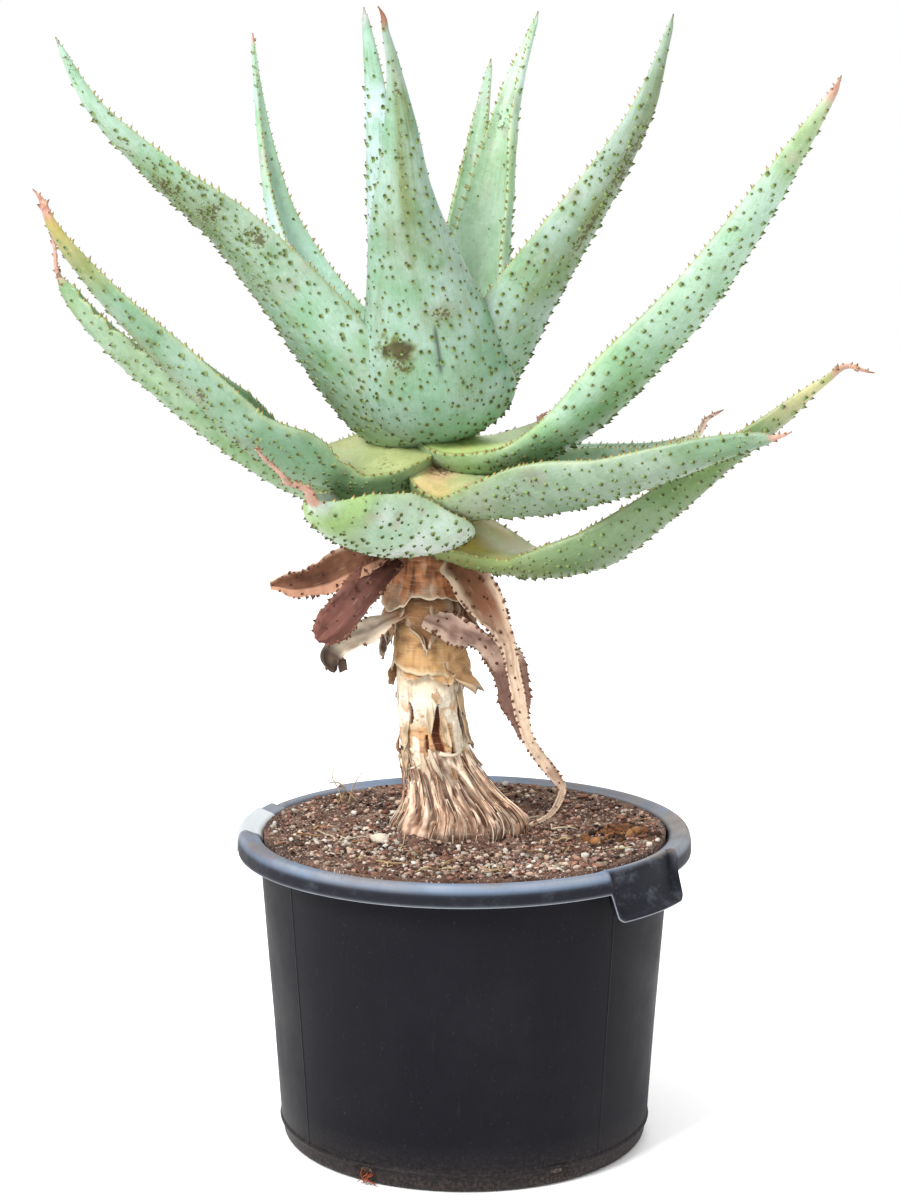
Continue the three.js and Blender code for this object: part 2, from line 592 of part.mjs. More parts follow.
function place(name, solid, color, roughness = 0.7) {
  const mesh = solid.getMesh();
  const geometry = new THREE.BufferGeometry();
  const count = mesh.numProp;
  const positions = new Float32Array((mesh.vertProperties.length / count) * 3);
  for (let i = 0; i < positions.length / 3; i += 1) {
    positions.set(mesh.vertProperties.subarray(i * count, i * count + 3), i * 3);
  }
  geometry.setAttribute("position", new THREE.BufferAttribute(positions, 3));
  geometry.setIndex(new THREE.BufferAttribute(Uint32Array.from(mesh.triVerts), 1));
  geometry.computeVertexNormals();
  const material = new THREE.MeshStandardMaterial({ color, roughness, metalness: 0 });
  material.name = name;
  const node = new THREE.Mesh(geometry, material);
  node.name = name;
  group.add(node);
}

const stem = makeStem(0);
const stemRoom = makeStem(gap);

place("pot", makePot(), colors.pot, 0.55);
place("rim_label", makeLabel(), colors.label, 0.6);
place("soil", makeSoil(stemRoom), colors.soil, 1);
place("trunk", stem, colors.stem, 0.85);

// What stands already, grown by the clearance, is cut out of each next piece.
const taken = [stemRoom];
const bounds = (solid) => {
  const { min, max } = solid.boundingBox();
  return new THREE.Box3(new THREE.Vector3(...min), new THREE.Vector3(...max));
};

function clearOf(solid) {
  const box = bounds(solid);
  let result = solid;
  for (const other of taken) {
    if (bounds(other).intersectsBox(box)) {
      result = result.subtract(other);
    }
  }
  return biggest(result).simplify(0.12);
}

leaves.forEach((leaf, i) => {
  place(leaf.name, clearOf(whole(leaf, i + 1, 0)), leaf.color ?? colors.leaf, 0.6);
  taken.push(whole(leaf, i + 1, gap));
});

for (const s of sheaths) {
  const sleeve = makeSheath(s);
  place(s.name, clearOf(sleeve), colors.sheath, 0.85);
  taken.push(makeSheath({
    ...s,
    top: s.top + gap,
    bottom: s.bottom - gap,
    topOut: s.topOut - gap,
    bottomOut: s.bottomOut - gap,
    thick: s.thick + 2 * gap,
  }));
}

dryLeaves.forEach((leaf, i) => {
  Object.assign(leaf, { teeth: 3, back: 2, front: 0, stations: 10, cells: 3 });
  place(leaf.name, clearOf(whole(leaf, 40 + i, 0)), leaf.color, 0.85);
  taken.push(whole(leaf, 40 + i, gap));
});

export default group;
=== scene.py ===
import math

import bpy
import numpy as np
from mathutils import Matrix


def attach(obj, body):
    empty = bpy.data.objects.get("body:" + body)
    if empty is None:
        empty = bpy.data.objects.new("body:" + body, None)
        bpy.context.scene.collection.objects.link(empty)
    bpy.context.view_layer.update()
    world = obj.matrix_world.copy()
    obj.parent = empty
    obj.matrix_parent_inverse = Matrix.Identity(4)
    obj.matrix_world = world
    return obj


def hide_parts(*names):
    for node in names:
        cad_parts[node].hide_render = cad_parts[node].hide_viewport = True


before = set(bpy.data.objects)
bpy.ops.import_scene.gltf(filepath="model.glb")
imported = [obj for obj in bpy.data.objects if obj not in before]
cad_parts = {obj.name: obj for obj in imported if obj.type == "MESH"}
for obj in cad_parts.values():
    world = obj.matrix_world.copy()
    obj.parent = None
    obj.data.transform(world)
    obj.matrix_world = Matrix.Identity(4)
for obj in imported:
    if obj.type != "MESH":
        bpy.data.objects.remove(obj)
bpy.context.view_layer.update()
mm = 0.001
crown = np.array([-33.0, 0.0, 0.0])


# Small helpers. Sizes are in millimetres until a mesh is made.

def rgb(r, g, b):
    # screen colour 0-255 to the linear numbers that shaders use
    c = np.array([r, g, b]) / 255
    return np.where(c < 0.04045, c / 12.92, ((c + 0.055) / 1.055) ** 2.4)


def paint(r, g, b):
    # albedo of a surface that looks like this screen colour where the key light falls on it
    return rgb(r, g, b) * 0.56


def mix(a, b, t):
    return a + (b - a) * t


def layered(tint, *coats):
    # each coat in turn laid over the tint: its colour, by its share at each point
    for color, share in coats:
        tint = mix(tint, color, np.asarray(share)[..., None])
    return tint


def smooth(t):
    t = np.clip(t, 0, 1)
    return t * t * (3 - 2 * t)


def ramp(low, high, t):
    # 0 below low, 1 above high, smooth between
    return smooth((t - low) / (high - low))


def bell(x):
    # 1 where x is 0, and e to the power of minus its square elsewhere
    return np.exp(-x ** 2)


def listed(pairs, t):
    # straight lines between the entries of a table
    table = np.array(pairs, float)
    return np.interp(t, table[:, 0], table[:, 1])


def eased(pairs, t):
    # like listed, but with a soft start and end between each two entries
    table = np.array(pairs, float)
    k = np.clip(np.searchsorted(table[:, 0], t, side="right") - 1, 0, len(table) - 2)
    share = (t - table[k, 0]) / (table[k + 1, 0] - table[k, 0])
    return mix(table[k, 1], table[k + 1, 1], smooth(share))


def unit(v):
    return v / np.maximum(np.linalg.norm(v, axis=-1, keepdims=True), 1e-9)


def noise(points, cell, seed):
    # random lattice values, blended between the eight corners of each cell: a smooth field from -1 to 1
    q = np.asarray(points, float) / cell
    base = np.floor(q).astype(np.int64)
    f = q - base
    f = f * f * (3 - 2 * f)
    total = 0
    for corner in range(8):
        step = np.array([corner & 1, (corner >> 1) & 1, corner >> 2])
        n = base + step
        h = n[..., 0] * 374761393 + n[..., 1] * 668265263 + n[..., 2] * 1442695041 + seed * 974634777
        h = h & 0xffffffff
        h = ((h ^ (h >> 13)) * 1274126177) & 0xffffffff
        value = ((h ^ (h >> 16)) & 0xffff) / 32767.5 - 1
        total = total + np.prod(np.where(step, f, 1 - f), axis=-1) * value
    return total


def fractal(points, cell, seed, octaves=3):
    # sum of finer and weaker noise
    total = 0
    weight = 0.55
    for k in range(octaves):
        total = total + weight * noise(points, cell / 2 ** k, seed + k)
        weight *= 0.55
    return total


def fineLine(points, steps):
    # Catmull-Rom curve through the points, the same number of steps between each two
    p = np.asarray(points, float)
    p = np.vstack([2 * p[0] - p[1], p, 2 * p[-1] - p[-2]])
    spans = len(p) - 3
    s = np.linspace(0, spans, spans * steps + 1)
    k = np.minimum(s.astype(int), spans - 1)
    f = (s - k)[:, None]
    ahead = 0.5 * (p[k + 2] - p[k])
    after = 0.5 * (p[k + 3] - p[k + 1])
    return ((2 * f ** 3 - 3 * f ** 2 + 1) * p[k + 1] + (f ** 3 - 2 * f ** 2 + f) * ahead
            + (3 * f ** 2 - 2 * f ** 3) * p[k + 2] + (f ** 3 - f ** 2) * after)


def curvePoints(points, t):
    # the same curve, read at shares t of its length, and its length
    fine = fineLine(points, 120)
    length = np.r_[0, np.cumsum(np.linalg.norm(np.diff(fine, axis=0), axis=1))]
    share = length / length[-1]
    place = np.stack([np.interp(t, share, column) for column in fine.T], axis=-1)
    return place, length[-1]


# A bunch of surfaces that becomes one mesh: points, faces, a colour for each point, two numbers for
# each point (hard: 1 on horn, bark or stone; mark: how scarred, kept as the colour's alpha) and a place
# on the surface (flow).

class Bunch:
    def __init__(self):
        self.parts = {key: [] for key in ("points", "quads", "tris", "tint", "hard", "mark", "flow")}
        self.count = 0

    def add(self, points, quads, tris, tint, hard=0.0, flow=None, mark=0.0):
        points = np.asarray(points, float).reshape(-1, 3)
        quads = np.asarray(quads, int).reshape(-1, 4)
        tris = np.asarray(tris, int).reshape(-1, 3)
        # the sign of the volume tells whether the faces look inwards, and then they are turned round
        corners = np.concatenate([tris, quads[:, [0, 1, 2]], quads[:, [0, 2, 3]]])
        a, b, c = (points[corners[:, i]] for i in range(3))
        if np.einsum("ij,ij->i", a, np.cross(b, c)).sum() < 0:
            quads, tris = quads[:, ::-1], tris[:, ::-1]
        count = len(points)
        flow = np.zeros((count, 2)) if flow is None else np.asarray(flow, float).reshape(-1, 2)
        added = {"points": points, "quads": quads + self.count, "tris": tris + self.count, "flow": flow}
        shapes = (("tint", tint, (count, 3)), ("hard", hard, count), ("mark", mark, count))
        for key, values, shape in shapes:
            added[key] = np.broadcast_to(np.asarray(values, float), shape)
        for key, values in added.items():
            self.parts[key].append(values)
        self.count += count

    def piece(self, name, material, nodes, slot):
        points, quads, tris, tint, hard, mark, flow = (np.concatenate(p) for p in self.parts.values())
        corners = np.concatenate([quads.ravel(), tris.ravel()])
        starts = np.concatenate([np.arange(len(quads)) * 4, len(quads) * 4 + np.arange(len(tris)) * 3])
        mesh = bpy.data.meshes.new(name)
        mesh.vertices.add(len(points))
        mesh.vertices.foreach_set("co", (points * mm).ravel())
        mesh.loops.add(len(corners))
        mesh.loops.foreach_set("vertex_index", corners)
        mesh.polygons.add(len(starts))
        mesh.polygons.foreach_set("loop_start", starts)
        mesh.polygons.foreach_set("use_smooth", np.ones(len(starts), bool))
        mesh.update(calc_edges=True)
        tint = np.c_[tint, mark]
        mesh.attributes.new("tint", "FLOAT_COLOR", "POINT").data.foreach_set("color", tint.ravel())
        mesh.attributes.new("hard", "FLOAT", "POINT").data.foreach_set("value", hard)
        mesh.uv_layers.new(name="flow").data.foreach_set("uv", flow[corners].ravel())
        mesh.materials.append(material)
        piece = bpy.data.objects.new(name, mesh)
        bpy.context.scene.collection.objects.link(piece)
        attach(piece, "root")
        if nodes:
            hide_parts(*nodes)
        print(name, len(quads) * 2 + len(tris), "triangles")


def gridFaces(rows, cols, wrapRows=False, wrapCols=True):
    # four-sided faces between the points of a grid, closed round in either direction
    r = np.arange(rows if wrapRows else rows - 1)
    c = np.arange(cols if wrapCols else cols - 1)
    r, c = (x.ravel() for x in np.meshgrid(r, c, indexing="ij"))
    r2 = (r + 1) % rows
    c2 = (c + 1) % cols
    return np.stack([r * cols + c, r * cols + c2, r2 * cols + c2, r2 * cols + c], axis=1)


def capFaces(ring, centre, flip=False):
    # fan of triangles from a centre point to a closed ring
    after = np.roll(ring, -1)
    tris = np.stack([np.full(len(ring), centre), after, ring], axis=1)
    return tris[:, ::-1] if flip else tris


def skinned(grid):
    # closed skin over rings of points, with a fan at either end
    rows, cols = grid.shape[:2]
    ring = np.arange(cols)
    tris = np.concatenate([
        capFaces(ring, rows * cols),
        capFaces(ring + (rows - 1) * cols, rows * cols + 1, flip=True),
    ])
    return withEnds(grid), gridFaces(rows, cols), tris


def withEnds(values):
    # the values of a grid of points, and those of its two end points
    flat = values.reshape(-1, *values.shape[2:])
    return np.concatenate([flat, [values[0].mean(axis=0), values[-1].mean(axis=0)]])


def closedTurn(grid):
    # grid of (angle, profile): the first and last profile point of every angle is one pole point
    angles, cols = grid.shape[:2]
    inner = cols - 2
    first = np.arange(angles) * inner
    tris = np.concatenate([
        capFaces(first, angles * inner, flip=True),
        capFaces(first + inner - 1, angles * inner + 1),
    ])
    return closedValues(grid), gridFaces(angles, inner, wrapRows=True, wrapCols=False), tris


def closedValues(values):
    # the values of such a grid, with those of its two pole points at the end
    body = values[:, 1:-1]
    return np.concatenate([body.reshape(-1, *values.shape[2:]), values[:1, 0], values[:1, -1]])


# Camera and light.

camera = {"place": (-13.6, -2300.0, 872.0), "pitchDown": 9.1, "lens": 76.2, "sensor": 36, "far": 50}
studio = {
    "world": 1.0, "floor": rgb(255, 255, 255), "floorReach": 12.0, "aim": (0, 0, 0.55),
    # place and size in metres, power in watts
    "lights": {"key": [(-1.9, -2.2, 2.7), 1.1, 150], "fill": [(2.6, -1.8, 1.4), 2.0, 16],
               "rim": [(0.6, 2.2, 2.4), 1.4, 34]},
}


def makeCamera():
    data = bpy.data.cameras.new("camera")
    data.lens = camera["lens"]
    data.sensor_width = camera["sensor"]
    data.clip_end = camera["far"]
    eye = bpy.data.objects.new("camera", data)
    eye.location = [v * mm for v in camera["place"]]
    eye.rotation_euler = (math.radians(90 - camera["pitchDown"]), 0, 0)
    bpy.context.scene.collection.objects.link(eye)
    bpy.context.scene.camera = eye


def makeLight(name, place, size, power):
    data = bpy.data.lights.new(name, "AREA")
    data.size = size
    data.energy = power
    lamp = bpy.data.objects.new(name, data)
    lamp.location = place
    aim = np.array(studio["aim"]) - np.array(place)
    lamp.rotation_euler = (math.acos(aim[2] / np.linalg.norm(aim)) + math.pi, 0,
                           math.atan2(aim[0], -aim[1]))
    bpy.context.scene.collection.objects.link(lamp)


def makeStudio():
    world = bpy.data.worlds.new("studio")
    world.use_nodes = True
    background = world.node_tree.nodes["Background"]
    background.inputs["Color"].default_value = (1, 1, 1, 1)
    background.inputs["Strength"].default_value = studio["world"]
    bpy.context.scene.world = world
    bpy.context.scene.view_settings.view_transform = "Standard"
    for name, (place, size, power) in studio["lights"].items():
        makeLight(name, place, size, power)
    mesh = bpy.data.meshes.new("floor")
    reach = studio["floorReach"]
    corners = [(-reach, -reach, 0), (reach, -reach, 0), (reach, reach, 0), (-reach, reach, 0)]
    mesh.from_pydata(corners, [], [(0, 1, 2, 3)])
    floor = bpy.data.objects.new("floor", mesh)
    bpy.context.scene.collection.objects.link(floor)
    material = bpy.data.materials.new("floor")
    material.use_nodes = True
    shader = material.node_tree.nodes["Principled BSDF"]
    shader.inputs["Base Color"].default_value = (*studio["floor"], 1)
    shader.inputs["Roughness"].default_value = 1.0
    shader.inputs["Specular IOR Level"].default_value = 0.0
    mesh.materials.append(material)


# Materials. Each is a small graph on top of the piece's own tint.

class Graph:
    def __init__(self, name):
        self.material = bpy.data.materials.new(name)
        self.material.use_nodes = True
        self.tree = self.material.node_tree
        self.shader = self.tree.nodes["Principled BSDF"]

    def feed(self, socket, value):
        # links another node's output, or sets a number or a colour
        if isinstance(value, bpy.types.NodeSocket):
            self.tree.links.new(value, socket)
        else:
            socket.default_value = (*value, 1) if socket.type == "RGBA" else value

    def node(self, kind, links=None, **settings):
        made = self.tree.nodes.new(kind)
        for key, value in settings.items():
            setattr(made, key, value)
        for key, value in (links or {}).items():
            self.feed(made.inputs[key], value)
        return made

    def attribute(self, name, output="Color"):
        return self.node("ShaderNodeAttribute", attribute_name=name).outputs[output]

    def scaled(self, where, scale):
        return self.node("ShaderNodeMapping", {"Vector": where, "Scale": scale}).outputs["Vector"]

    def place(self, scale=(1, 1, 1)):
        return self.scaled(self.node("ShaderNodeTexCoord").outputs["Object"], scale)

    def flow(self, scale):
        return self.scaled(self.node("ShaderNodeUVMap", uv_map="flow").outputs["UV"], scale)

    def noise(self, where, scale, detail, rough):
        links = {"Vector": where, "Scale": scale, "Detail": detail, "Roughness": rough}
        return self.node("ShaderNodeTexNoise", links).outputs["Fac"]

    def band(self, value, low, high, start, end):
        # from start to end while the value goes from low to high, smooth between
        links = {"Value": value, "From Min": low, "From Max": high, "To Min": start, "To Max": end}
        return self.node("ShaderNodeMapRange", links, interpolation_type="SMOOTHSTEP").outputs["Result"]

    def blend(self, factor, a, b, mode="MIX"):
        made = self.node("ShaderNodeMix", {0: factor}, data_type="RGBA", blend_type=mode)
        self.feed(made.inputs[6], a)
        self.feed(made.inputs[7], b)
        return made.outputs[2]

    def coats(self, color, *rows):
        # each row in turn laid over the colour: its field, the field's low and high, the most it covers
        # and its own colour
        for field, low, high, most, over in rows:
            color = self.blend(self.band(field, low, high, 0, most), color, over)
        return color

    def shade(self, color, times):
        # the colour, made darker, lighter or warmer by three factors
        return self.blend(1.0, color, times, "MULTIPLY")

    def math(self, kind, a, b):
        return self.node("ShaderNodeMath", {0: a, 1: b}, operation=kind).outputs["Value"]

    def relief(self, *rows):
        # bumps on top of each other: each row a height, its depth in metres and its strength
        normal = None
        for height, distance, strength in rows:
            links = {"Height": height, "Distance": distance, "Strength": strength}
            if normal is not None:
                links["Normal"] = normal
            normal = self.node("ShaderNodeBump", links).outputs["Normal"]
        return normal

    def wire(self, **sockets):
        names = {"color": "Base Color", "roughness": "Roughness", "normal": "Normal",
                 "specular": "Specular IOR Level"}
        for key, value in sockets.items():
            self.feed(self.shader.inputs[names[key]], value)
        return self.material


def leafMaterial():
    # waxy skin: fine pale bloom, greener rubbed patches, lengthwise streaks and ragged corky marks;
    # prickles keep their own tint
    g = Graph("waxy_leaf")
    tint = g.attribute("tint")
    hard = g.attribute("hard", "Fac")
    mark = g.attribute("tint", "Alpha")
    patches = g.noise(g.place(), 24, 6, 0.62)
    blush = g.noise(g.place((1, 1, 0.6)), 38, 4, 0.6)
    grain = g.noise(g.place(), 230, 3, 0.6)
    streaks = g.noise(g.flow((9, 70, 1)), 1.0, 5, 0.62)
    color = g.coats(
        tint,
        (patches, 0.5, 0.68, 0.62, g.shade(tint, (0.6, 0.7, 0.52))),
        (patches, 0.47, 0.32, 0.6, g.shade(tint, (1.3, 1.2, 1.34))),
        (blush, 0.56, 0.72, 0.5, g.shade(tint, (1.12, 0.84, 0.94))),
        (streaks, 0.46, 0.7, 0.42, g.shade(tint, (0.62, 0.72, 0.5))),
        (streaks, 0.42, 0.28, 0.4, g.shade(tint, (1.3, 1.2, 1.3))),
        (grain, 0.56, 0.68, 0.45, g.shade(tint, (0.6, 0.64, 0.52))),
        (grain, 0.42, 0.3, 0.4, g.shade(tint, (1.35, 1.3, 1.4))),
    )
    scars = g.noise(g.place(), 300, 4, 0.6)
    marked = g.math("ADD", g.math("MULTIPLY", scars, 0.8), g.math("MULTIPLY", mark, 0.42))
    scarred = g.band(marked, 0.62, 0.72, 0, 1)
    color = g.blend(g.math("MULTIPLY", scarred, 0.88), color, paint(92, 84, 38))
    color = g.blend(hard, color, tint)
    normal = g.relief((streaks, 0.0006, 0.35), (grain, 0.0003, 0.5), (scarred, 0.0005, 0.6))
    return g.wire(color=color, roughness=g.band(patches, 0.3, 0.7, 0.52, 0.4), normal=normal, specular=0.4)


def dryMaterial(name, dark, pale, fibre=60, ringed=0.0):
    # dried leaf tissue and bark: fibres along the piece, darker in the hollows between them as painted
    # shade and paler on their ridges, sand-like speckles
    g = Graph(name)
    tint = g.attribute("tint")
    hard = g.attribute("hard", "Fac")
    fibres = g.noise(g.flow((6, fibre, 1)), 1.0, 6, 0.65)
    rings = g.noise(g.flow((62, 3, 1)), 1.0, 4, 0.6)
    blots = g.noise(g.place(), 55, 5, 0.6)
    grain = g.noise(g.place(), 420, 3, 0.6)
    worn = g.coats(
        tint,
        # the fibre coats follow the bump: painted shade in the fibres' hollows, paler on their ridges
        (fibres, 0.48, 0.26, 0.6 - 0.35 * ringed, dark), (fibres, 0.56, 0.76, 0.45 - 0.25 * ringed, pale),
        (rings, 0.54, 0.7, 0.6 * ringed, dark), (rings, 0.46, 0.34, 0.5 * ringed, pale),
        (blots, 0.56, 0.7, 0.5, dark), (grain, 0.58, 0.7, 0.35, dark),
    )
    color = g.blend(g.math("MULTIPLY", hard, 0.8), worn, tint)
    normal = g.relief((fibres, 0.0012, 0.6), (rings, 0.0008, ringed), (grain, 0.0004, 0.5))
    return g.wire(color=color, roughness=0.82, normal=normal, specular=0.25)


def potMaterial():
    # moulded black plastic: dusty towards the foot and the rim, scuffed and greyed on the rim and grips
    g = Graph("container_plastic")
    tint = g.attribute("tint")
    dust = g.attribute("hard", "Fac")
    rubbed = g.attribute("tint", "Alpha")
    clouds = g.noise(g.place(), 9, 6, 0.62)
    grain = g.noise(g.place(), 330, 4, 0.65)
    scuffs = g.noise(g.place((40, 40, 5)), 4.0, 5, 0.7)
    rubs = g.noise(g.place((1, 1, 1.5)), 36, 7, 0.72)
    color = g.coats(
        tint,
        (clouds, 0.45, 0.72, 0.4, paint(46, 44, 50)),
        (scuffs, 0.6, 0.78, 0.3, paint(66, 64, 68)),
        (grain, 0.62, 0.76, 0.4, paint(90, 87, 86)),
    )
    for high, over in ((0.74, paint(150, 156, 170)), (0.3, paint(40, 42, 54))):
        color = g.blend(g.math("MULTIPLY", rubbed, g.band(rubs, 0.48, high, 0, 0.5)), color, over)
    settled = g.math("MULTIPLY", dust, g.band(grain, 0.36, 0.66, 0.25, 1))
    color = g.blend(settled, color, paint(158, 140, 126))
    normal = g.relief((grain, 0.0002, 0.5), (clouds, 0.003, 0.12), (rubs, 0.0006, 0.3))
    return g.wire(color=color, roughness=g.band(clouds, 0.3, 0.75, 0.42, 0.6), normal=normal, specular=0.08)


def soilMaterial():
    # mineral potting soil: crumbs of several browns, pale pumice and dark bark
    g = Graph("soil")
    tint = g.attribute("tint")
    hard = g.attribute("hard", "Fac")
    where = g.place()
    crumbs = g.noise(where, 190, 6, 0.7)
    clumps = g.noise(where, 38, 5, 0.6)
    specks = g.noise(where, 520, 2, 0.5)
    color = g.coats(
        tint,
        (clumps, 0.35, 0.7, 0.5, paint(128, 96, 82)),
        (crumbs, 0.5, 0.36, 0.75, paint(62, 44, 38)),
        (crumbs, 0.56, 0.7, 0.7, paint(232, 204, 184)),
        (specks, 0.6, 0.7, 0.8, paint(255, 244, 230)),
    )
    color = g.blend(hard, color, tint)
    return g.wire(color=color, roughness=0.95, normal=g.relief((crumbs, 0.003, 0.9)), specular=0.15)


def labelMaterial():
    # bare white film, a little dirty at its edges
    g = Graph("label_film")
    clouds = g.noise(g.place(), 120, 4, 0.6)
    color = g.coats(label["color"], (clouds, 0.55, 0.75, 0.35, paint(180, 188, 196)))
    return g.wire(color=color, roughness=0.4, specular=0.4)


# Container: a closed profile turned round Z. At the two grips the profile changes to a hollow scoop
# within a few millimetres, which leaves the upright cheeks. Angles are in degrees. turn: angle between
# two sections. cheekCuts, seamCuts: how far and how finely more sections are set there. ribs: height and
# width of faint steps round the wall. The entries from face to glint place the rim's colours, counted in
# points along the lip's profile: face is the first, the others start and end, or lie with a spread. The
# rim colour is a painted reflection of the sky on the top, and shine and glint are painted highlights.

pot = {
    "turn": 1.5, "cheekCuts": [2.4, 0.2], "seamCuts": [0.8, 0.16],
    "gripMiddle": -39.0, "gripSpread": 28.0, "gripCheek": 1.1, "gripCorner": 2.6,
    "seams": [-46.0, -145.0, 44.0, 135.0], "seamWide": 0.22, "seamHigh": 0.5,
    "ribs": [[150, 2.2], [60, 2.0]], "ribHigh": 0.35,
    "drains": 6, "drainFrom": 29, "drainWide": 15.0, "drainHigh": 11.0, "drainLow": 6.5, "drainDeep": 2.6,
    "wornSide": [8, 34], "faceAt": 23, "topFrom": [31.5, 34.5], "topTo": [51, 46], "gripTopFrom": [42, 46],
    "shineAt": [36, 1.6], "glintAt": [25.6, 1.2],
    "wall": paint(26, 26, 33), "face": paint(40, 41, 50), "rim": paint(136, 156, 184),
    "dusty": paint(160, 156, 154), "edge": paint(206, 212, 222), "drain": paint(14, 13, 15),
}
potWall = [[0, 0], [90, 0], [150, 0.2], [163, 0.4], [166.5, 1.0], [169.3, 3.5], [170.4, 8], [171.6, 14.6],
           [173.2, 16.4], [173.6, 18], [172.6, 20], [172.6, 23], [178.4, 110], [184.4, 190], [188.6, 250],
           [189.9, 268]]
potLip = [[190.3, 276], [190.9, 281.5], [193.6, 284.0], [198.4, 284.6], [202.6, 283.0], [205.2, 278.5],
          [206.4, 272.6], [207.2, 271.1], [209.4, 271.1], [210.1, 272.2], [210.0, 278], [209.6, 284],
          [207.6, 289.4], [204.4, 291.6], [199.8, 290.6], [195.2, 288.9], [191.0, 287.6], [188.4, 285]]
potGrip = [[190.3, 276], [190.9, 281.5], [192.6, 284.0], [195.0, 283.0], [197.8, 278.6], [200.6, 270],
           [204.4, 259.6], [211.6, 249.6], [216.8, 246.7], [218.2, 248.0], [217.4, 249.6], [211.6, 253.8],
           [206.4, 263.6], [204.0, 276.6], [202.4, 286.4], [199.0, 290.6], [193.2, 289.0], [188.4, 285]]
potInside = [[187.4, 282], [186.6, 277], [181, 200], [172, 60], [169, 12], [165, 5], [80, 4.4], [0, 4.4]]


def nearest(angle, places):
    # degrees from each angle to the nearest of the places
    return np.min([np.abs((angle - p + 180) % 360 - 180) for p in places], axis=0)


def makePot():
    half = pot["gripSpread"] / 2
    grips = [pot["gripMiddle"], pot["gripMiddle"] + 180]
    cheeks = [g + side * (half - pot["gripCheek"] / 2) for g in grips for side in (-1, 1)]
    angles = [np.arange(0, 360, pot["turn"])]
    for places, (far, gap) in ((cheeks, pot["cheekCuts"]), (pot["seams"], pot["seamCuts"])):
        angles += [p + np.arange(-far, far + 0.01, gap) for p in places]
    angles = np.unique(np.round(np.concatenate(angles) % 360, 3))
    wall, lip, grip = (fineLine(line, 3) for line in (potWall, potLip, potGrip))
    inside = fineLine(potInside, 1)
    # share of the grip's form at each angle; its lower edge comes in later, which rounds its corners
    within = half - nearest(angles, grips)
    weight = smooth(within / pot["gripCheek"])[:, None]
    corner = smooth(within / pot["gripCorner"])[:, None]
    low = ramp(272, 250, grip[:, 1])[None, :]
    share = weight * mix(1, 0.8 + 0.2 * corner, low)
    rim = mix(lip[None], grip[None], share[..., None])
    wall, inside = (np.broadcast_to(line[None], (len(angles), *line.shape)) for line in (wall, inside))
    section = np.concatenate([wall, rim, inside], axis=1)
    radius = section[..., 0].copy()
    height = section[..., 1]
    # low mould seams and faint steps on the wall
    count = np.arange(section.shape[1])[None] - wall.shape[1]
    outer = count < 0
    onWall = (outer & (height > 20) & (height < 268)).astype(float)
    radius += pot["seamHigh"] * bell(nearest(angles, pot["seams"]) / pot["seamWide"])[:, None] * onWall
    radius += pot["ribHigh"] * onWall * sum(bell((height - at) / wide) for at, wide in pot["ribs"])
    turn = np.radians(angles)[:, None]
    grid = np.stack([radius * np.cos(turn), radius * np.sin(turn), height], axis=-1)
    radial = np.stack([np.cos(turn), np.sin(turn), 0 * turn], axis=-1)
    uneven = fractal(grid, 120, 3, 2)[..., None] * 0.5
    grid = grid + radial * uneven * (radius > 100)[..., None]
    # drain holes are pressed in as shallow recesses, painted near black as the shade of an open hole: the
    # distance is taken along the wall, of radius 170
    drains = pot["drainFrom"] + 360 * (np.arange(pot["drains"]) + 0.5) / pot["drains"]
    gap = nearest(angles, drains)[:, None] * np.pi / 180 * 170
    top = pot["drainLow"] + pot["drainHigh"]
    hollow = ramp(pot["drainWide"] / 2 + 1.2, pot["drainWide"] / 2 - 1.2, gap)
    hollow = hollow * ramp(pot["drainLow"] - 1.5, pot["drainLow"] + 1.5, height) * outer
    hollow = hollow * ramp(top + 1.0, top - 2.0, height)
    grid = grid - radial * (hollow * pot["drainDeep"])[..., None]
    # colours: dark wall and outer face of the rim, grey-blue top (a painted reflection of the sky) that is
    # dusty in places, pale lower edge (a painted highlight)
    onRim = ((count >= pot["faceAt"]) & (count <= len(lip))).astype(float)
    onGrip = smooth((within + 1.2) / 2.0)[:, None] * (count >= 0)
    top = ramp(*pot["topFrom"], count) * ramp(*pot["topTo"], count)
    top = top * mix(1, ramp(*pot["gripTopFrom"], count), onGrip)
    wornAt, wornWide = pot["wornSide"]
    worn = bell(nearest(angles, [wornAt]) / wornWide)[:, None]
    dusty = 0.6 * ramp(-0.1, 0.5, fractal(grid, 60, 15)) + worn * ramp(-0.7, 0.1, fractal(grid, 22, 18))
    # shine and the thin line at the lip's lower edge are painted highlights in the edge colour
    shine, edge = (bell((count - at) / wide) for at, wide in (pot["shineAt"], pot["glintAt"]))
    shine = shine * (1 - onGrip) * ramp(-0.5, 0.4, fractal(grid, 46, 16))
    tint = layered(
        pot["wall"],
        (pot["face"], onRim),
        (layered(pot["rim"], (pot["dusty"], np.clip(dusty, 0, 1))), top * onRim),
        (pot["edge"], 0.5 * shine),
        (pot["edge"], edge * 0.85),
        # painted shade in the drain holes
        (pot["drain"], hollow),
    )
    footDust = ramp(36, 4, height) * 0.2 + ramp(0.15, 0.9, fractal(grid, 70, 9)) * 0.12
    rimDust = ramp(-0.35, 0.5, fractal(grid, 26, 12)) * ramp(286, 291, height) * 0.7
    dust = np.where(outer | (height > 240), np.clip(footDust * outer + rimDust, 0, 0.85), 0.7)
    rubbed = onRim * mix(0.35, 0.7, onGrip)
    made = Bunch()
    made.add(*closedTurn(grid), closedValues(tint), closedValues(dust), mark=closedValues(rubbed))
    made.piece("container", potMaterial(), ["pot"], "container")


# Bare white label that is folded over the rolled rim. profile: out from the pot's middle, up.

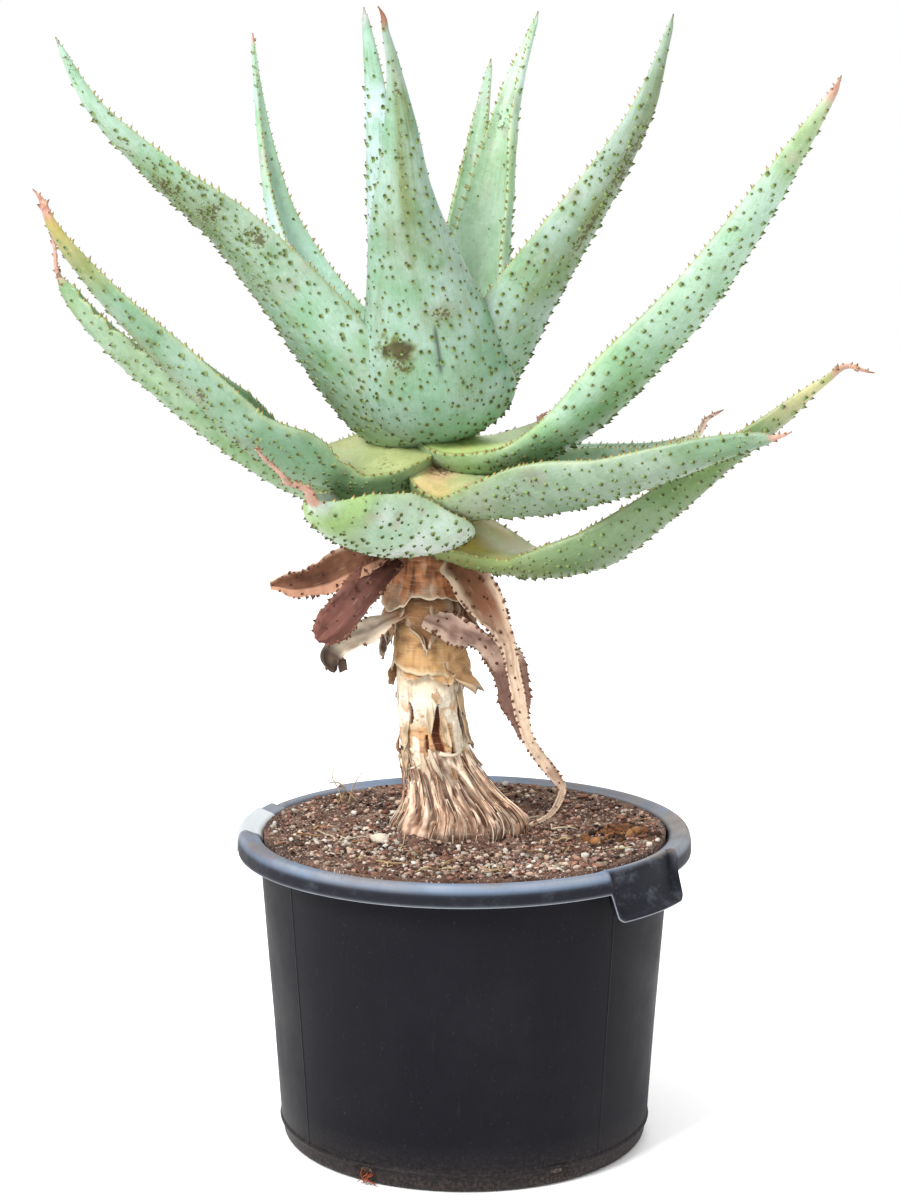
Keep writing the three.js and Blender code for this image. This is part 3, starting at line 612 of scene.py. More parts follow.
label = {
    "from": 163.0, "to": 187.0, "cuts": 40, "lift": 0.7, "thick": 0.5, "color": paint(222, 230, 236),
    "profile": [[187.6, 282.6], [188.7, 286.0], [191.2, 288.2], [195.2, 289.5], [199.8, 291.2],
                [204.4, 292.3], [207.9, 289.9], [209.9, 284.3], [210.3, 278], [210.4, 273.5]],
}


def makeLabel():
    line = fineLine(label["profile"], 4)
    along = np.gradient(line, axis=0)
    away = unit(np.stack([-along[:, 1], along[:, 0]], axis=1))
    outer = line + away * (label["lift"] + label["thick"])
    loop = np.concatenate([outer, (line + away * label["lift"])[::-1]])
    angle = np.radians(np.linspace(label["from"], label["to"], label["cuts"]))[:, None]
    out, up = loop.T[:, None]
    grid = np.stack([out * np.cos(angle), out * np.sin(angle), up + 0 * angle], axis=-1)
    # slightly lifted where the film has come loose
    lift = 0.5 * noise(grid, 24, 5)[..., None] * unit(grid * [1, 1, 0])
    made = Bunch()
    made.add(*skinned(grid + lift), label["color"])
    made.piece("rim_film", labelMaterial(), ["rim_label"], "label")


# Soil: a dished surface with humps, crumbs and stones, closed below. rings, turns: points of the surface
# along and round. skirt: z of the edge and of the flat below. clodAt: middle of the brown clod.

soil = {
    "level": 280.0, "rise": 9.0, "edge": 186.5, "rings": 80, "turns": 250, "skirt": [262, 240],
    "clodAt": [146, -18], "sunk": 0.25, "stoneAt": [-79.0, -21.0, 284.0], "stoneWide": 9.0,
    "ground": paint(140, 106, 90), "damp": paint(84, 60, 52), "dry": paint(190, 156, 136),
    "colors": [paint(220, 172, 152), paint(190, 138, 116), paint(134, 92, 76), paint(246, 208, 184),
               paint(58, 42, 40)],
    "clod": [paint(196, 140, 90), paint(150, 98, 62), paint(96, 62, 44), paint(64, 44, 36)],
    "pale": [paint(255, 248, 236) * 1.2, paint(248, 232, 210) * 1.1, paint(236, 208, 182)],
    # heaps of pale gravel and of crumbs by the stem: middle x and y, spread
    "gravel": [[-10, -88, 40], [-100, -20, 34], [60, -110, 42]],
    "crumbHeaps": [[-6, -44, 34], [-72, -4, 20], [64, 0, 16]],
}


def onClod(x, y):
    # 1 in the middle of the clod, fading with the square of the distance
    clodX, clodY = soil["clodAt"]
    return np.exp(-((x - clodX) ** 2 + (y - clodY) ** 2) / 520)


def soilHeight(x, y):
    # level, rise towards the wall, humps of crossed waves, the clod and a ring pushed up round the stem
    r = np.hypot(x, y)
    flat = np.stack([x, y, 0 * x], axis=-1)
    hump = (1.6 * np.sin(x * 0.06 + 1) * np.cos(y * 0.07) + 1.3 * np.sin(x * 0.19 + y * 0.11)
            * np.cos(y * 0.23 - x * 0.07) + 8 * onClod(x, y))
    away = np.clip(np.hypot((x + 6) / 63, y / 36) - 1, 0, 9) * 46
    hump = hump + 9 * bell(away / 11) * (0.75 + 0.7 * noise(flat, 15, 61))
    rough = 1.5 * fractal(flat, 16, 21, 3) + 0.7 * noise(flat, 4.2, 31)
    hump = hump * (1 - ramp(176, 186, r))
    return soil["level"] + soil["rise"] * np.clip((r - 112) / 66, 0, 1) + hump + rough


def nuggets(places, sizes, seed, squash=0.7):
    # small irregular stones: a cube's corners and face middles, pushed about
    rng = np.random.default_rng(seed)
    corner = np.array([[x, y, z] for x in (-1, 1) for y in (-1, 1) for z in (-1, 1)], float) * 0.62
    quads = np.array([[0, 1, 3, 2], [4, 6, 7, 5], [0, 4, 5, 1], [2, 3, 7, 6], [0, 2, 6, 4], [1, 5, 7, 3]])
    base = np.concatenate([corner, corner[quads].mean(axis=1) * 1.55])
    tris = np.array([[q[k], q[(k + 1) % 4], 8 + i] for i, q in enumerate(quads) for k in range(4)])
    count = len(places)
    shape = base[None] * (1 + 0.3 * rng.uniform(-1, 1, (count, len(base), 1)))
    shape = shape * rng.uniform(0.6, 1.25, (count, 1, 3)) * [1, 1, squash]
    spin = rng.uniform(0, 2 * np.pi, count)
    c, s = np.cos(spin)[:, None], np.sin(spin)[:, None]
    x, y, z = np.moveaxis(shape, -1, 0)
    points = places[:, None] + np.stack([x * c - y * s, x * s + y * c, z], axis=-1) * sizes[:, None, None]
    tris = (tris[None] + (np.arange(count) * len(base))[:, None, None]).reshape(-1, 3)
    return points.reshape(-1, 3), tris, len(base)


def scatterSoil(made, count, small, large, colors, seed, squash=0.7, heap=None, stained=0.6):
    # heap: [middle x, middle y, spread], or the whole surface where there is none; stained: how brown the
    # crumbs on the clod are
    rng = np.random.default_rng(seed)
    r = soil["edge"] * np.sqrt(rng.uniform(0.02, 0.955, count))
    a = rng.uniform(0, 2 * np.pi, count)
    x, y = r * np.cos(a), r * np.sin(a)
    if heap:
        heapX, heapY, spread = heap
        x, y = heapX + rng.normal(0, spread, count), heapY + rng.normal(0, spread * 0.7, count)
        keep = np.hypot(x, y) < soil["edge"] - 6
        x, y, count = x[keep], y[keep], int(keep.sum())
    size = mix(small, large, rng.uniform(0, 1, count) ** 2.4)
    z = soilHeight(x, y) + size * soil["sunk"]
    points, tris, per = nuggets(np.stack([x, y, z], axis=1), size, seed + 1, squash)
    tint = np.asarray(colors)[rng.integers(0, len(colors), count)] * rng.uniform(0.5, 1.3, (count, 1))
    tint = layered(tint, (paint(120, 82, 58), stained * onClod(x, y)))
    made.add(points, [], tris, np.repeat(tint, per, axis=0), 0.75)


def makeSoil():
    edge, rings = soil["edge"], soil["rings"]
    radii = np.r_[np.linspace(0, edge, rings), edge, edge - 4, 0]
    angles = np.linspace(0, 2 * np.pi, soil["turns"], endpoint=False)
    a, r = np.meshgrid(angles, radii, indexing="ij")
    x, y = r * np.cos(a), r * np.sin(a)
    z = soilHeight(x, y)
    z[:, rings], z[:, rings + 1:] = soil["skirt"]
    grid = np.stack([x, y, z], axis=-1)
    tint = layered(
        soil["ground"],
        (soil["damp"], ramp(-0.3, 0.4, fractal(grid, 26, 4, 4))),
        (soil["dry"], ramp(0.1, 0.5, fractal(grid, 40, 8)) * 0.6),
        (paint(96, 66, 50), 0.85 * onClod(x, y)),
    )
    made = Bunch()
    made.add(*closedTurn(grid), closedValues(tint))
    colors, pale = soil["colors"], soil["pale"]
    # count, smallest and largest size, colours, seed, and what differs
    rows = [(3600, 0.8, 2.8, colors, 11, {}), (900, 0.7, 3.5, pale, 16, {}),
            (420, 1.4, 5.2, colors[1:3], 20, {"squash": 0.4})]
    for k, heap in enumerate(soil["gravel"]):
        rows.append((260, 0.7, 3.6, pale + colors[:1], 70 + k, {"heap": heap}))
    rows.append((160, 2.0, 6.0, soil["clod"], 90, {"heap": [*soil["clodAt"], 16], "stained": 0}))
    for k, heap in enumerate(soil["crumbHeaps"]):
        rows.append((110, 0.8, 3.0, colors, 94 + k, {"heap": heap}))
    for count, small, large, shades, seed, more in rows:
        scatterSoil(made, count, small, large, shades, seed, **more)
    stone, tris, _ = nuggets(np.array([soil["stoneAt"]]), np.array([soil["stoneWide"]]), 3, 0.75)
    made.add(stone, [], tris, paint(255, 246, 226) * 1.2, 0.8)
    made.piece("potting_soil", soilMaterial(), ["soil"], "soil")


# Stem: rings of height, middle x, middle y, half width in x and in y.

stemRings = np.array([
    [250, -7, 0, 61, 35], [272, -7, 0, 61, 35], [286, -6, 0, 63, 36], [297, -5, 0, 61, 35],
    [308, -6, 0, 53, 34], [322, -12, 0, 43, 32], [342, -20, 0, 36, 31], [358, -26, 0, 32, 30],
    [376, -29, 0, 30, 29], [400, -31, 0, 29, 28.5], [436, -33, 0, 29, 28.5], [500, -33, 0, 29, 28.5],
    [560, -33, 0, 29, 29], [620, -33, 0, 28, 28], [646, -33, 0, 24, 24], [662, -33, 0, 15, 15],
    [667, -33, 0, 4, 4],
])
stem = {
    # levels: lowest and highest z of a stretch, and its number of rings
    "around": 214, "levels": [[250, 352, 66], [353.2, 440, 72], [442, 667, 26]],
    "bandAt": 366, "fibres": 420,
    "cream": paint(255, 244, 220) * 1.3, "tan": paint(232, 178, 118), "slit": paint(122, 62, 32),
    "foot": paint(255, 214, 184) * 1.8, "footPale": paint(255, 240, 216) * 1.9,
    "footDark": paint(156, 110, 86),
    "fibreColors": [paint(255, 240, 214), paint(250, 214, 184), paint(226, 184, 152), paint(170, 126, 102),
                    paint(104, 70, 54)],
    # panels of inner bark: compass angle, half width in degrees, lowest and highest z
    "panels": [[258, 13, 366, 388], [296, 12, 368, 392], [226, 8, 372, 384]],
    # slits: compass angle, lowest and highest z, half width
    "slits": [[280, 322, 411, 4.4], [262, 300, 350, 2.2], [298, 296, 352, 3.0], [318, 292, 346, 2.6],
              [244, 302, 356, 2.0], [338, 294, 340, 2.4], [228, 298, 350, 2.2], [200, 300, 346, 2.4],
              [231, 391, 413, 2.8], [335, 374, 430, 3.4], [213, 354, 386, 2.6],
              [305, 352, 372, 2.0], [255, 366, 384, 1.8], [18, 360, 420, 3.2], [62, 384, 426, 2.6],
              [88, 350, 392, 3.0], [128, 372, 424, 3.4], [163, 350, 400, 2.8], [190, 398, 426, 2.2]],
    # cords of bark round the top of the foot: first and last compass angle, z, sag, thickness
    "cords": [[186, 238, 355, 5, 2.3], [278, 318, 366, 2, 2.5], [20, 60, 362, 3, 2.0]],
}
stemFine, _ = curvePoints(stemRings, np.linspace(0, 1, 2000))


def stemAt(z):
    # middle x and y, half width in x and in y
    return [np.interp(z, stemFine[:, 0], stemFine[:, k]) for k in range(1, 5)]


def roundStem(angle, z, reach=30.0, squeeze=1.0):
    # place on an even cylinder, for noise that follows the stem
    x, y = reach * np.cos(angle), reach * np.sin(angle)
    return np.stack([x + 0 * z, y + 0 * z, z * squeeze + 0 * angle], -1)


def stemPoint(angle, z, out):
    # point of the stem's skin at this angle and height, moved outwards
    x, y, a, b = stemAt(z)
    return np.stack([x + (a + out) * np.cos(angle), y + (b + out) * np.sin(angle), z + 0 * angle], axis=-1)


def makeStem():
    z = np.concatenate([np.linspace(*stretch) for stretch in stem["levels"]])[:, None]
    angle = np.linspace(0, 2 * np.pi, stem["around"], endpoint=False)[None]
    high = z + 0 * angle
    degrees = np.degrees(angle)

    def field(reach, squeeze, cell, seed, octaves=3):
        # noise that follows the bark; a low squeeze draws it out along the stem
        return fractal(roundStem(angle, high, reach, squeeze), cell, seed, octaves)

    foot = ramp(366, 318, high)
    strips = field(46, 0.26, 6, 2, 4)
    threads = field(90, 0.5, 7, 6)
    chips = field(40, 0.8, 11, 5)
    frayed = field(70, 0.42, 4.2, 71)
    cracks = ramp(0.16, 0.0, np.abs(noise(roundStem(angle, high, 46, 0.16), 9, 12)))
    groove = 0.055 * np.sin(angle * 5 + 0.8) + 0.03 * np.sin(angle * 3 + 2.1)
    # layers of thin bark that have peeled to different heights: the field is rounded to whole steps
    peeling = (field(30, 1.5, 17, 14) + 0.5) * 3.2
    layer = np.round(peeling) / 3.2
    lip = ramp(0.46, 0.5, np.abs(peeling - np.round(peeling)))
    # slits: the half width follows the root of a half wave, and the middle wanders
    slit = 0 * high
    for az, low, top, half in stem["slits"]:
        wander = 3.0 * noise(roundStem(0 * angle, high, 0, 1), 16, int(az))
        arc = np.radians((degrees - az + 180) % 360 - 180) * 30 + wander
        taper = half * np.sqrt(np.clip(np.sin(np.pi * np.clip((high - low) / (top - low), 0, 1)), 0, 1))
        slit = np.maximum(slit, ramp(1.15, 0.75, np.abs(arc) / np.maximum(taper, 0.3)) * (taper > 0.4))
    wavy = [noise(roundStem(angle, 0 * high, 30), cell, seed) for cell, seed in ((10, 33), (4, 34))]
    step = ramp(-1.0, 1.0, high - (stem["bandAt"] + 6 * wavy[0] + 2.5 * wavy[1]))
    below = ramp(446, 436, high)
    peel = step * below
    lump = groove * stemAt(high)[2] * foot
    lump = lump + foot * (2.0 * strips + 1.3 * threads - 1.8 * cracks + 1.6 * chips + 1.7 * frayed)
    lump = lump + peel * (1.6 * layer + 0.5 * threads) + 1.2 * step - 0.6 - 3.6 * slit * below
    lump = lump + (1 - foot) * (1 - peel) * (0.8 * chips + 0.9 * threads)
    grid = stemPoint(angle, high, lump)
    bark = layered(
        stem["cream"],
        (stem["tan"], 0.9 * ramp(0.56, 0.22, layer + 0.5 * ramp(384, 420, high))),
        (paint(176, 112, 62), 0.75 * lip * ramp(-0.3, 0.3, chips)),
        (paint(206, 150, 96), 0.5 * ramp(0.1, 0.6, threads)),
    )
    for az, wide, low, top in stem["panels"]:
        inPanel = ramp(1.1, 0.8, np.abs(degrees - az) / wide)
        inPanel = inPanel * ramp(low - 3, low, high) * ramp(top + 4, top, high)
        lined = ramp(-0.2, 0.5, noise(roundStem(angle, high, 12, 3.2), 5, int(az)))
        bark = layered(bark, (layered(paint(250, 194, 132), (paint(196, 128, 76), lined)), 0.85 * inPanel))
    bark = layered(
        bark,
        # paler and warmer just under the lower sleeve: painted light that offsets the sleeve's shadow
        (paint(255, 228, 190) * 1.2, 0.7 * ramp(416, 434, high)),
        # slits: dark reddish-brown, and darker still in their middle as painted shade
        (stem["slit"], np.clip(slit * 1.3, 0, 1)),
        (paint(92, 44, 24), 0.8 * ramp(0.8, 1.0, slit) * ramp(-0.2, 0.3, threads)),
    )
    # the foot's wood: paler on its raised strips and frayed fibres and darker between them and in the
    # cracks and slits, its own colour together with painted light and shade that follow the same relief
    wood = layered(
        stem["foot"],
        (stem["footPale"], 0.9 * ramp(0.05, 0.5, strips + 0.5 * threads)),
        (stem["footDark"], 0.75 * ramp(-0.05, -0.5, strips + 0.6 * threads)),
        (stem["footPale"], 0.7 * ramp(0.2, 0.5, frayed)),
        (stem["footDark"], 0.6 * ramp(-0.18, -0.5, frayed)),
        (paint(96, 64, 50), 0.7 * cracks),
        (paint(112, 68, 46), 0.85 * slit),
        (stem["footPale"], 0.6 * ramp(312, 352, high) * ramp(-0.4, 0.3, chips)),
        # darker towards the bottom of the foot: painted shade where it meets the soil
        (paint(136, 102, 84), 0.9 * ramp(314, 286, high) * ramp(-0.5, 0.2, chips + frayed)),
        (paint(74, 54, 46), 0.8 * ramp(294, 284, high)),
    )
    old = layered(paint(206, 156, 104), (paint(150, 96, 60), ramp(-0.3, 0.4, chips + threads)))
    leafy = paint(186, 198, 132)
    tint = layered(wood, (bark, step), (old, ramp(436, 446, high)), (leafy, ramp(556, 566, high)))
    flow = np.stack([high / 120, angle / 3 + 0 * high], axis=-1)
    made = Bunch()
    made.add(*skinned(grid), withEnds(tint), 0.5, withEnds(flow))
    for start, end, level, sag, thick in stem["cords"]:
        s = np.linspace(0, 1, 5)
        out = 0.6 + 1.4 * np.sin(np.pi * s)
        line = stemPoint(np.radians(mix(start, end, s)), level - sag * np.sin(3 * s), out)
        strand(made, line, thick, paint(255, 236, 208) * 1.2, 6, 16)
    # loose fibres that lie along the foot
    rng = np.random.default_rng(17)
    tones = stem["fibreColors"]
    s = np.linspace(0, 1, 4)
    for k in range(stem["fibres"]):
        az, top, long = rng.uniform(0, 2 * np.pi), rng.uniform(290, 366), rng.uniform(8, 34)
        turned = az + rng.uniform(-0.1, 0.1) * s
        line = stemPoint(turned, top - long * s, rng.uniform(0.4, 2.6) + rng.uniform(-1, 1.5) * s)
        strand(made, line, rng.uniform(0.3, 1.0), tones[k % len(tones)] * rng.uniform(0.9, 1.4), 3, 7)
    material = dryMaterial("stem_bark", paint(126, 82, 54), paint(255, 246, 228) * 1.2, 40, 0.45)
    made.piece("bare_stem", material, ["trunk"], "stem")


# Papery sleeves of old leaf bases: a wall round the stem with a torn lower edge that curls outwards.
# hem: compass angle, z of the lower edge. topOut, bottomOut: distance from the stem. shaded: 1 where the
# upper half lies in shade and the lines are bold.

sleeveGrid = {"around": 220, "across": 30}
sleeves = [
    {"name": "sleeve_upper", "node": "sheath_upper", "top": 552, "topOut": 1.4, "bottomOut": 12,
     "hem": [[0, 512], [40, 500], [80, 508], [120, 499], [165, 510], [205, 500], [222, 497], [240, 502],
             [252, 513], [282, 511], [300, 506], [330, 503], [360, 512]],
     "ragged": 2.0, "thick": 1.2, "curl": 5.5, "folds": 2.4, "seed": 3, "shaded": 1.0,
     "color": paint(244, 164, 112), "pale": paint(255, 236, 204) * 1.1, "dark": paint(100, 54, 36)},
    {"name": "sleeve_lower", "node": "sheath_lower", "top": 505, "topOut": 1.2, "bottomOut": 3.4,
     "hem": [[0, 441], [40, 449], [85, 438], [130, 446], [175, 437], [210, 446], [240, 441], [270, 440],
             [300, 434], [322, 431], [345, 436], [360, 441]],
     "ragged": 2.6, "thick": 1.1, "curl": 3.4, "folds": 1.8, "seed": 8, "shaded": 0.0,
     "color": paint(240, 190, 130), "pale": paint(255, 232, 192), "dark": paint(136, 82, 48)},
]


def thereAndBack(front, back):
    # the columns of one face and then those of the other in reverse, as they follow round an edge
    return np.concatenate([front, back[:, ::-1]], axis=1)


def makeSleeve(s):
    around, across, seed = sleeveGrid["around"], sleeveGrid["across"], s["seed"]
    angle = np.linspace(0, 2 * np.pi, around, endpoint=False)[:, None]
    hem, fine, rolled = (noise(roundStem(angle, 0 * angle), cell, seed + k) for cell, k in
                         ((7, 0), (2.8, 1), (15, 4)))
    bottom = eased(s["hem"], np.degrees(angle)) + s["ragged"] * (hem + 0.5 * fine)
    t = np.linspace(0, 1, across)[None]
    z = mix(s["top"], bottom, t)
    wide = mix(s["topOut"], s["bottomOut"], t ** 2) + 1.6 * t * np.sin(angle * 3 + 2)
    turned = s["curl"] * ramp(0.72, 1.0, t) * (0.65 + 0.6 * rolled)
    folds = s["folds"] * fractal(roundStem(angle, z, 34, 1.6), 13, seed + 7, 3) * ramp(0, 0.3, t)
    threads = 0.4 * noise(roundStem(angle, z, 70, 0.4), 5, seed + 9)
    z = z + ramp(0.88, 1.0, t) * np.clip(turned, 0, 9) * 0.45
    out = wide + turned + folds + threads + 0.4
    grid = thereAndBack(stemPoint(angle, z, out + s["thick"]), stemPoint(angle, z, out))
    spots = fractal(roundStem(angle, z, 30, 1.2), 14, seed + 11, 3)
    lines = fractal(roundStem(angle, z, 60, 0.3), 6, seed + 13, 3)
    color, dark, pale, shaded = s["color"], s["dark"], s["pale"], s["shaded"]
    coats = [
        (dark, 0.75 * ramp(0.05, 0.6, spots)),
        # painted shade at the sleeve's top, under what lies above it, and in the hollows of its folds
        (dark, 0.8 * ramp(0.14, 0.0, t) + 0.5 * ramp(0.05, -0.5, folds / s["folds"])),
        (pale, (0.35 + 0.3 * shaded) * ramp(0.15, 0.6, lines)),
        (dark, (0.3 + 0.5 * shaded) * ramp(-0.1, -0.6, lines)),
        # painted shade over the upper half of a sleeve that lies in shade
        (dark, 0.6 * shaded * ramp(0.5, 0.05, t + 0.5 * spots)),
        (pale, 0.4 * shaded * ramp(0.5, 0.75, t) * ramp(-0.2, 0.4, spots)),
        (pale, 0.95 * ramp(0.9, 0.985, t) + 0 * z),
    ]
    tint = layered(color, *((coat, thereAndBack(share, share)) for coat, share in coats))
    inner = np.arange(2 * across) >= across + 2
    tint = layered(tint, (dark, inner[None] * 0.7))
    flow = np.stack([grid[..., 2] / 90, angle / 2 + 0 * grid[..., 2]], axis=-1)
    made = Bunch()
    made.add(grid, gridFaces(around, 2 * across, wrapRows=True), [], tint.reshape(-1, 3), 0.5, flow)
    for f in flaps[s["name"]]:
        addFlap(made, f, 0.85 * shaded)
    made.piece(s["name"], dryMaterial(s["name"] + "_fibre", dark, pale, 30, 0.8), [s["node"]], "sheath")


# Torn flaps of bark and old leaf base. az: compass angle of the root; top: its z; shift: how far the tip
# lies to the side; hook: how far its sides curl out; widths: [share, width]; lift: [share, distance from
# the stem]; color, inner: screen colours of the face and of the inner side.

flapGrid = {"rows": 22, "cols": 13, "thick": 0.8, "rim": paint(250, 230, 200), "shadow": paint(74, 38, 26)}


def flap(seed, az, top, length, shift, hook, color, widths, lift, inner=(120, 74, 48)):
    return {"seed": seed, "az": az, "top": top, "length": length, "shift": shift, "hook": hook,
            "color": color, "widths": widths, "lift": lift, "inner": inner}


flaps = {
    # the wide pointed flap under the upper sleeve comes first, then its neighbours and those behind
    "sleeve_upper": [
        flap(1, 262, 520, 56, 3, 2.0, (176, 128, 84), [[0, 34], [0.3, 44], [0.6, 28], [1, 5]],
             [[0, 3], [0.4, 7], [0.8, 7], [1, 12]]),
        flap(2, 297, 514, 34, -2, 2.5, (150, 96, 62), [[0, 26], [0.5, 24], [1, 8]],
             [[0, 3], [0.6, 6], [1, 9]]),
        flap(3, 214, 512, 42, -2, 3.0, (206, 158, 116), [[0, 16], [0.4, 22], [0.8, 12], [1, 4]],
             [[0, 4], [0.5, 12], [1, 10]]),
        flap(4, 200, 492, 38, 0, 3.0, (84, 54, 40), [[0, 8], [0.4, 9], [0.75, 12], [1, 3]],
             [[0, 5], [0.5, 12], [1, 15]]),
        flap(5, 340, 516, 40, 3, 3.0, (160, 104, 70), [[0, 22], [0.5, 18], [1, 4]],
             [[0, 4], [0.5, 9], [1, 16]]),
        flap(6, 30, 516, 38, 2, 2.5, (170, 110, 72), [[0, 24], [0.5, 22], [1, 5]],
             [[0, 4], [0.5, 8], [1, 12]]),
        flap(7, 92, 514, 46, -3, 2.5, (158, 102, 66), [[0, 30], [0.5, 26], [1, 5]],
             [[0, 4], [0.5, 7], [1, 11]]),
        flap(8, 146, 516, 34, 3, 3.0, (180, 122, 82), [[0, 24], [0.5, 20], [1, 5]],
             [[0, 4], [0.5, 9], [1, 14]]),
    ],
    # the wrinkled band with a curl at the right
    "sleeve_lower": [
        flap(11, 322, 452, 28, 6, 3.5, (226, 176, 122), [[0, 22], [0.5, 24], [1, 8]],
             [[0, 2], [0.5, 8], [1, 19]]),
        flap(12, 292, 446, 16, 2, 2.5, (232, 184, 130), [[0, 20], [0.6, 18], [1, 6]], [[0, 2], [1, 7]]),
        flap(13, 246, 448, 14, -2, 2.0, (224, 172, 118), [[0, 24], [0.6, 18], [1, 5]], [[0, 2], [1, 5]]),
        flap(14, 60, 450, 24, 2, 3.0, (214, 160, 106), [[0, 24], [0.5, 20], [1, 5]],
             [[0, 2], [0.5, 6], [1, 13]]),
        flap(15, 150, 448, 26, -3, 3.0, (220, 168, 112), [[0, 22], [0.5, 22], [1, 5]],
             [[0, 2], [0.5, 6], [1, 12]]),
    ],
    # flakes beside the slits of the bare stretch
    "stem_flakes": [
        flap(21, 270, 416, 30, -1, 2.0, (255, 230, 192), [[0, 4], [0.5, 6], [1, 3]],
             [[0, 0.4], [0.6, 1.6], [1, 3.4]], (206, 150, 96)),
        flap(22, 289, 408, 36, 2, 2.2, (255, 224, 182), [[0, 4], [0.4, 6], [0.8, 7], [1, 4]],
             [[0, 0.4], [0.5, 1.8], [1, 4]], (206, 150, 96)),
        flap(23, 326, 430, 30, 2, 2.6, (252, 218, 176), [[0, 7], [0.5, 10], [1, 5]],
             [[0, 0.4], [0.5, 1.6], [1, 3]], (176, 116, 66)),
        flap(24, 342, 404, 30, -2, 2.6, (240, 196, 148), [[0, 6], [0.5, 9], [1, 5]],
             [[0, 0.5], [0.5, 1.8], [1, 3]], (176, 116, 66)),
        flap(26, 224, 396, 26, -2, 2.2, (255, 226, 186), [[0, 4], [0.5, 7], [1, 4]],
             [[0, 0.5], [0.6, 2.5], [1, 5]], (206, 150, 96)),
        flap(27, 218, 378, 32, 2, 2.4, (240, 208, 170), [[0, 6], [0.5, 7], [1, 2]],
             [[0, 1], [0.5, 3], [1, 6]]),
        flap(28, 262, 370, 26, 5, 1.4, (255, 236, 208), [[0, 3], [0.5, 4], [1, 2]],
             [[0, 0.8], [0.5, 1.6], [1, 3]]),
        flap(30, 248, 370, 26, 4, 1.4, (255, 226, 194), [[0, 4], [0.5, 5], [1, 2]],
             [[0, 0.8], [0.5, 1.6], [1, 3]]),
    ],
}


def addFlap(made, f, shadow=0.0):
    # a strip with two faces that hangs along the stem; shadow: how dark its root is
    seed, length = f["seed"], f["length"]
    s = np.linspace(0, 1, flapGrid["rows"])[:, None]
    v = np.linspace(-1, 1, flapGrid["cols"])[None]
    both = 0 * s * v
    side = noise(np.stack([s * 9 + both, np.sign(v) * 3 + both, both + seed], -1), 1.3, seed)
    half = eased(f["widths"], s) / 2 * (1 + 0.28 * side * np.abs(v))
    ragged = 1 + 0.16 * noise(np.stack([v * 4 + both, both, both], -1), 1.4, seed + 50)
    z = f["top"] - length * s * ragged
    _, _, a, b = stemAt(z)
    angle = np.radians(f["az"]) + (v * half + f["shift"] * s ** 1.5) / ((a + b) / 2)
    crumple = noise(np.stack([v * half, length * s + both, both], -1), 7, seed + 20)
    hooked = f["hook"] * np.abs(v) ** 3 * ramp(0.05, 0.5, s)
    out = eased(f["lift"], s) + hooked + 1.1 * crumple * ramp(0, 0.4, s)
    grid = thereAndBack(stemPoint(angle, z, out + flapGrid["thick"]), stemPoint(angle, z, out))
    rim = np.maximum(ramp(0.7, 1.0, np.abs(v) + both), ramp(0.82, 1.0, s + both))
    spots = fractal(grid, 9, seed + 30, 3)
    back = np.arange(grid.shape[1]) >= flapGrid["cols"]
    tint = np.broadcast_to(paint(*f["color"]), grid.shape)
    tint = layered(
        tint,
        (tint * 0.5, 0.9 * ramp(0.0, 0.5, spots)),
        (flapGrid["rim"], 0.8 * thereAndBack(rim, rim)),
        (flapGrid["shadow"], shadow * ramp(0.34, 0.12, s) + 0 * spots),
        (paint(*f["inner"]), 0.75 * back[None] * (1 - 0.5 * rim[:, :1])),
    )
    flow = np.stack([grid[..., 2] / 80, thereAndBack(v * half, v * half) / 40], -1)
    made.add(*skinned(grid), withEnds(tint), 0.55, withEnds(flow))


def makeFlakes():
    # the placed flakes, and small seeded ones on the sides and the back of the stem
    made = Bunch()
    for f in flaps["stem_flakes"]:
        addFlap(made, f)
    rng = np.random.default_rng(5)
    for k in range(18):
        az = rng.uniform(15, 200) if k < 16 else rng.uniform(200, 330)
        top = rng.uniform(352, 436)
        wide = rng.uniform(4, 10)
        shade = mix(np.array([206, 150, 104]), np.array([252, 236, 208]), rng.uniform(0, 1))
        length = rng.uniform(9, 24)
        widths = [[0, wide * 0.7], [0.5, wide], [1, wide * 0.5]]
        lift = [[0, 0.6], [0.6, rng.uniform(0.8, 1.8)], [1, rng.uniform(1.2, 3.4)]]
        shift = rng.uniform(-3, 3)
        addFlap(made, flap(100 + k, az, top, length, shift, 2.0, shade, widths, lift, (190, 134, 84)))
    material = dryMaterial("flake_bark", paint(150, 96, 58), paint(252, 240, 218), 30)
    made.piece("stem_flakes", material, [], "stem")


# Green leaves, the innermost first. az: compass angle seen from above, from +X towards +Y, in degrees.
# route: [out from the crown's middle, sideways, up]. cup: half angle in degrees that the cross-section is
# bent through at the root, the middle and the tip. roll: [share of the length, turn about the midrib].
# dry: share of the length from where the tip is dried. margins: [share, how far the one margin is raised,
# how far the other]. pinch: the leaf narrows between two shares to this part of its width. curl: from this
# share the dried tip wriggles by this much. rootRound: share over which the root end is rounded. fill: how
# full the channel is at the root, and up to which share. lobes: how far the one margin's lobes stand out.
# crease: share, place across and half length of a sharp line. spacing: distance between prickles; bare:
# share at the root without them; crowd: [share, across, reach, width, count] of extra ones.
# Colours: tone and lift, factors for the whole leaf and for its channel near the root, where lift is
# partly painted light on a channel that lies in shade and partly a shift of its colour; yellow and baseTan,
# how yellow and how brown the base is; olive and green, how much of these; tipYellow and tipGreen, how
# the tip fades; tipColors, the fading and the dead tip; shades, stains, innerStains and scars, [share,
# across, reach, width, power] of olive patches, of corky marks outside and inside, and of dark scratches.

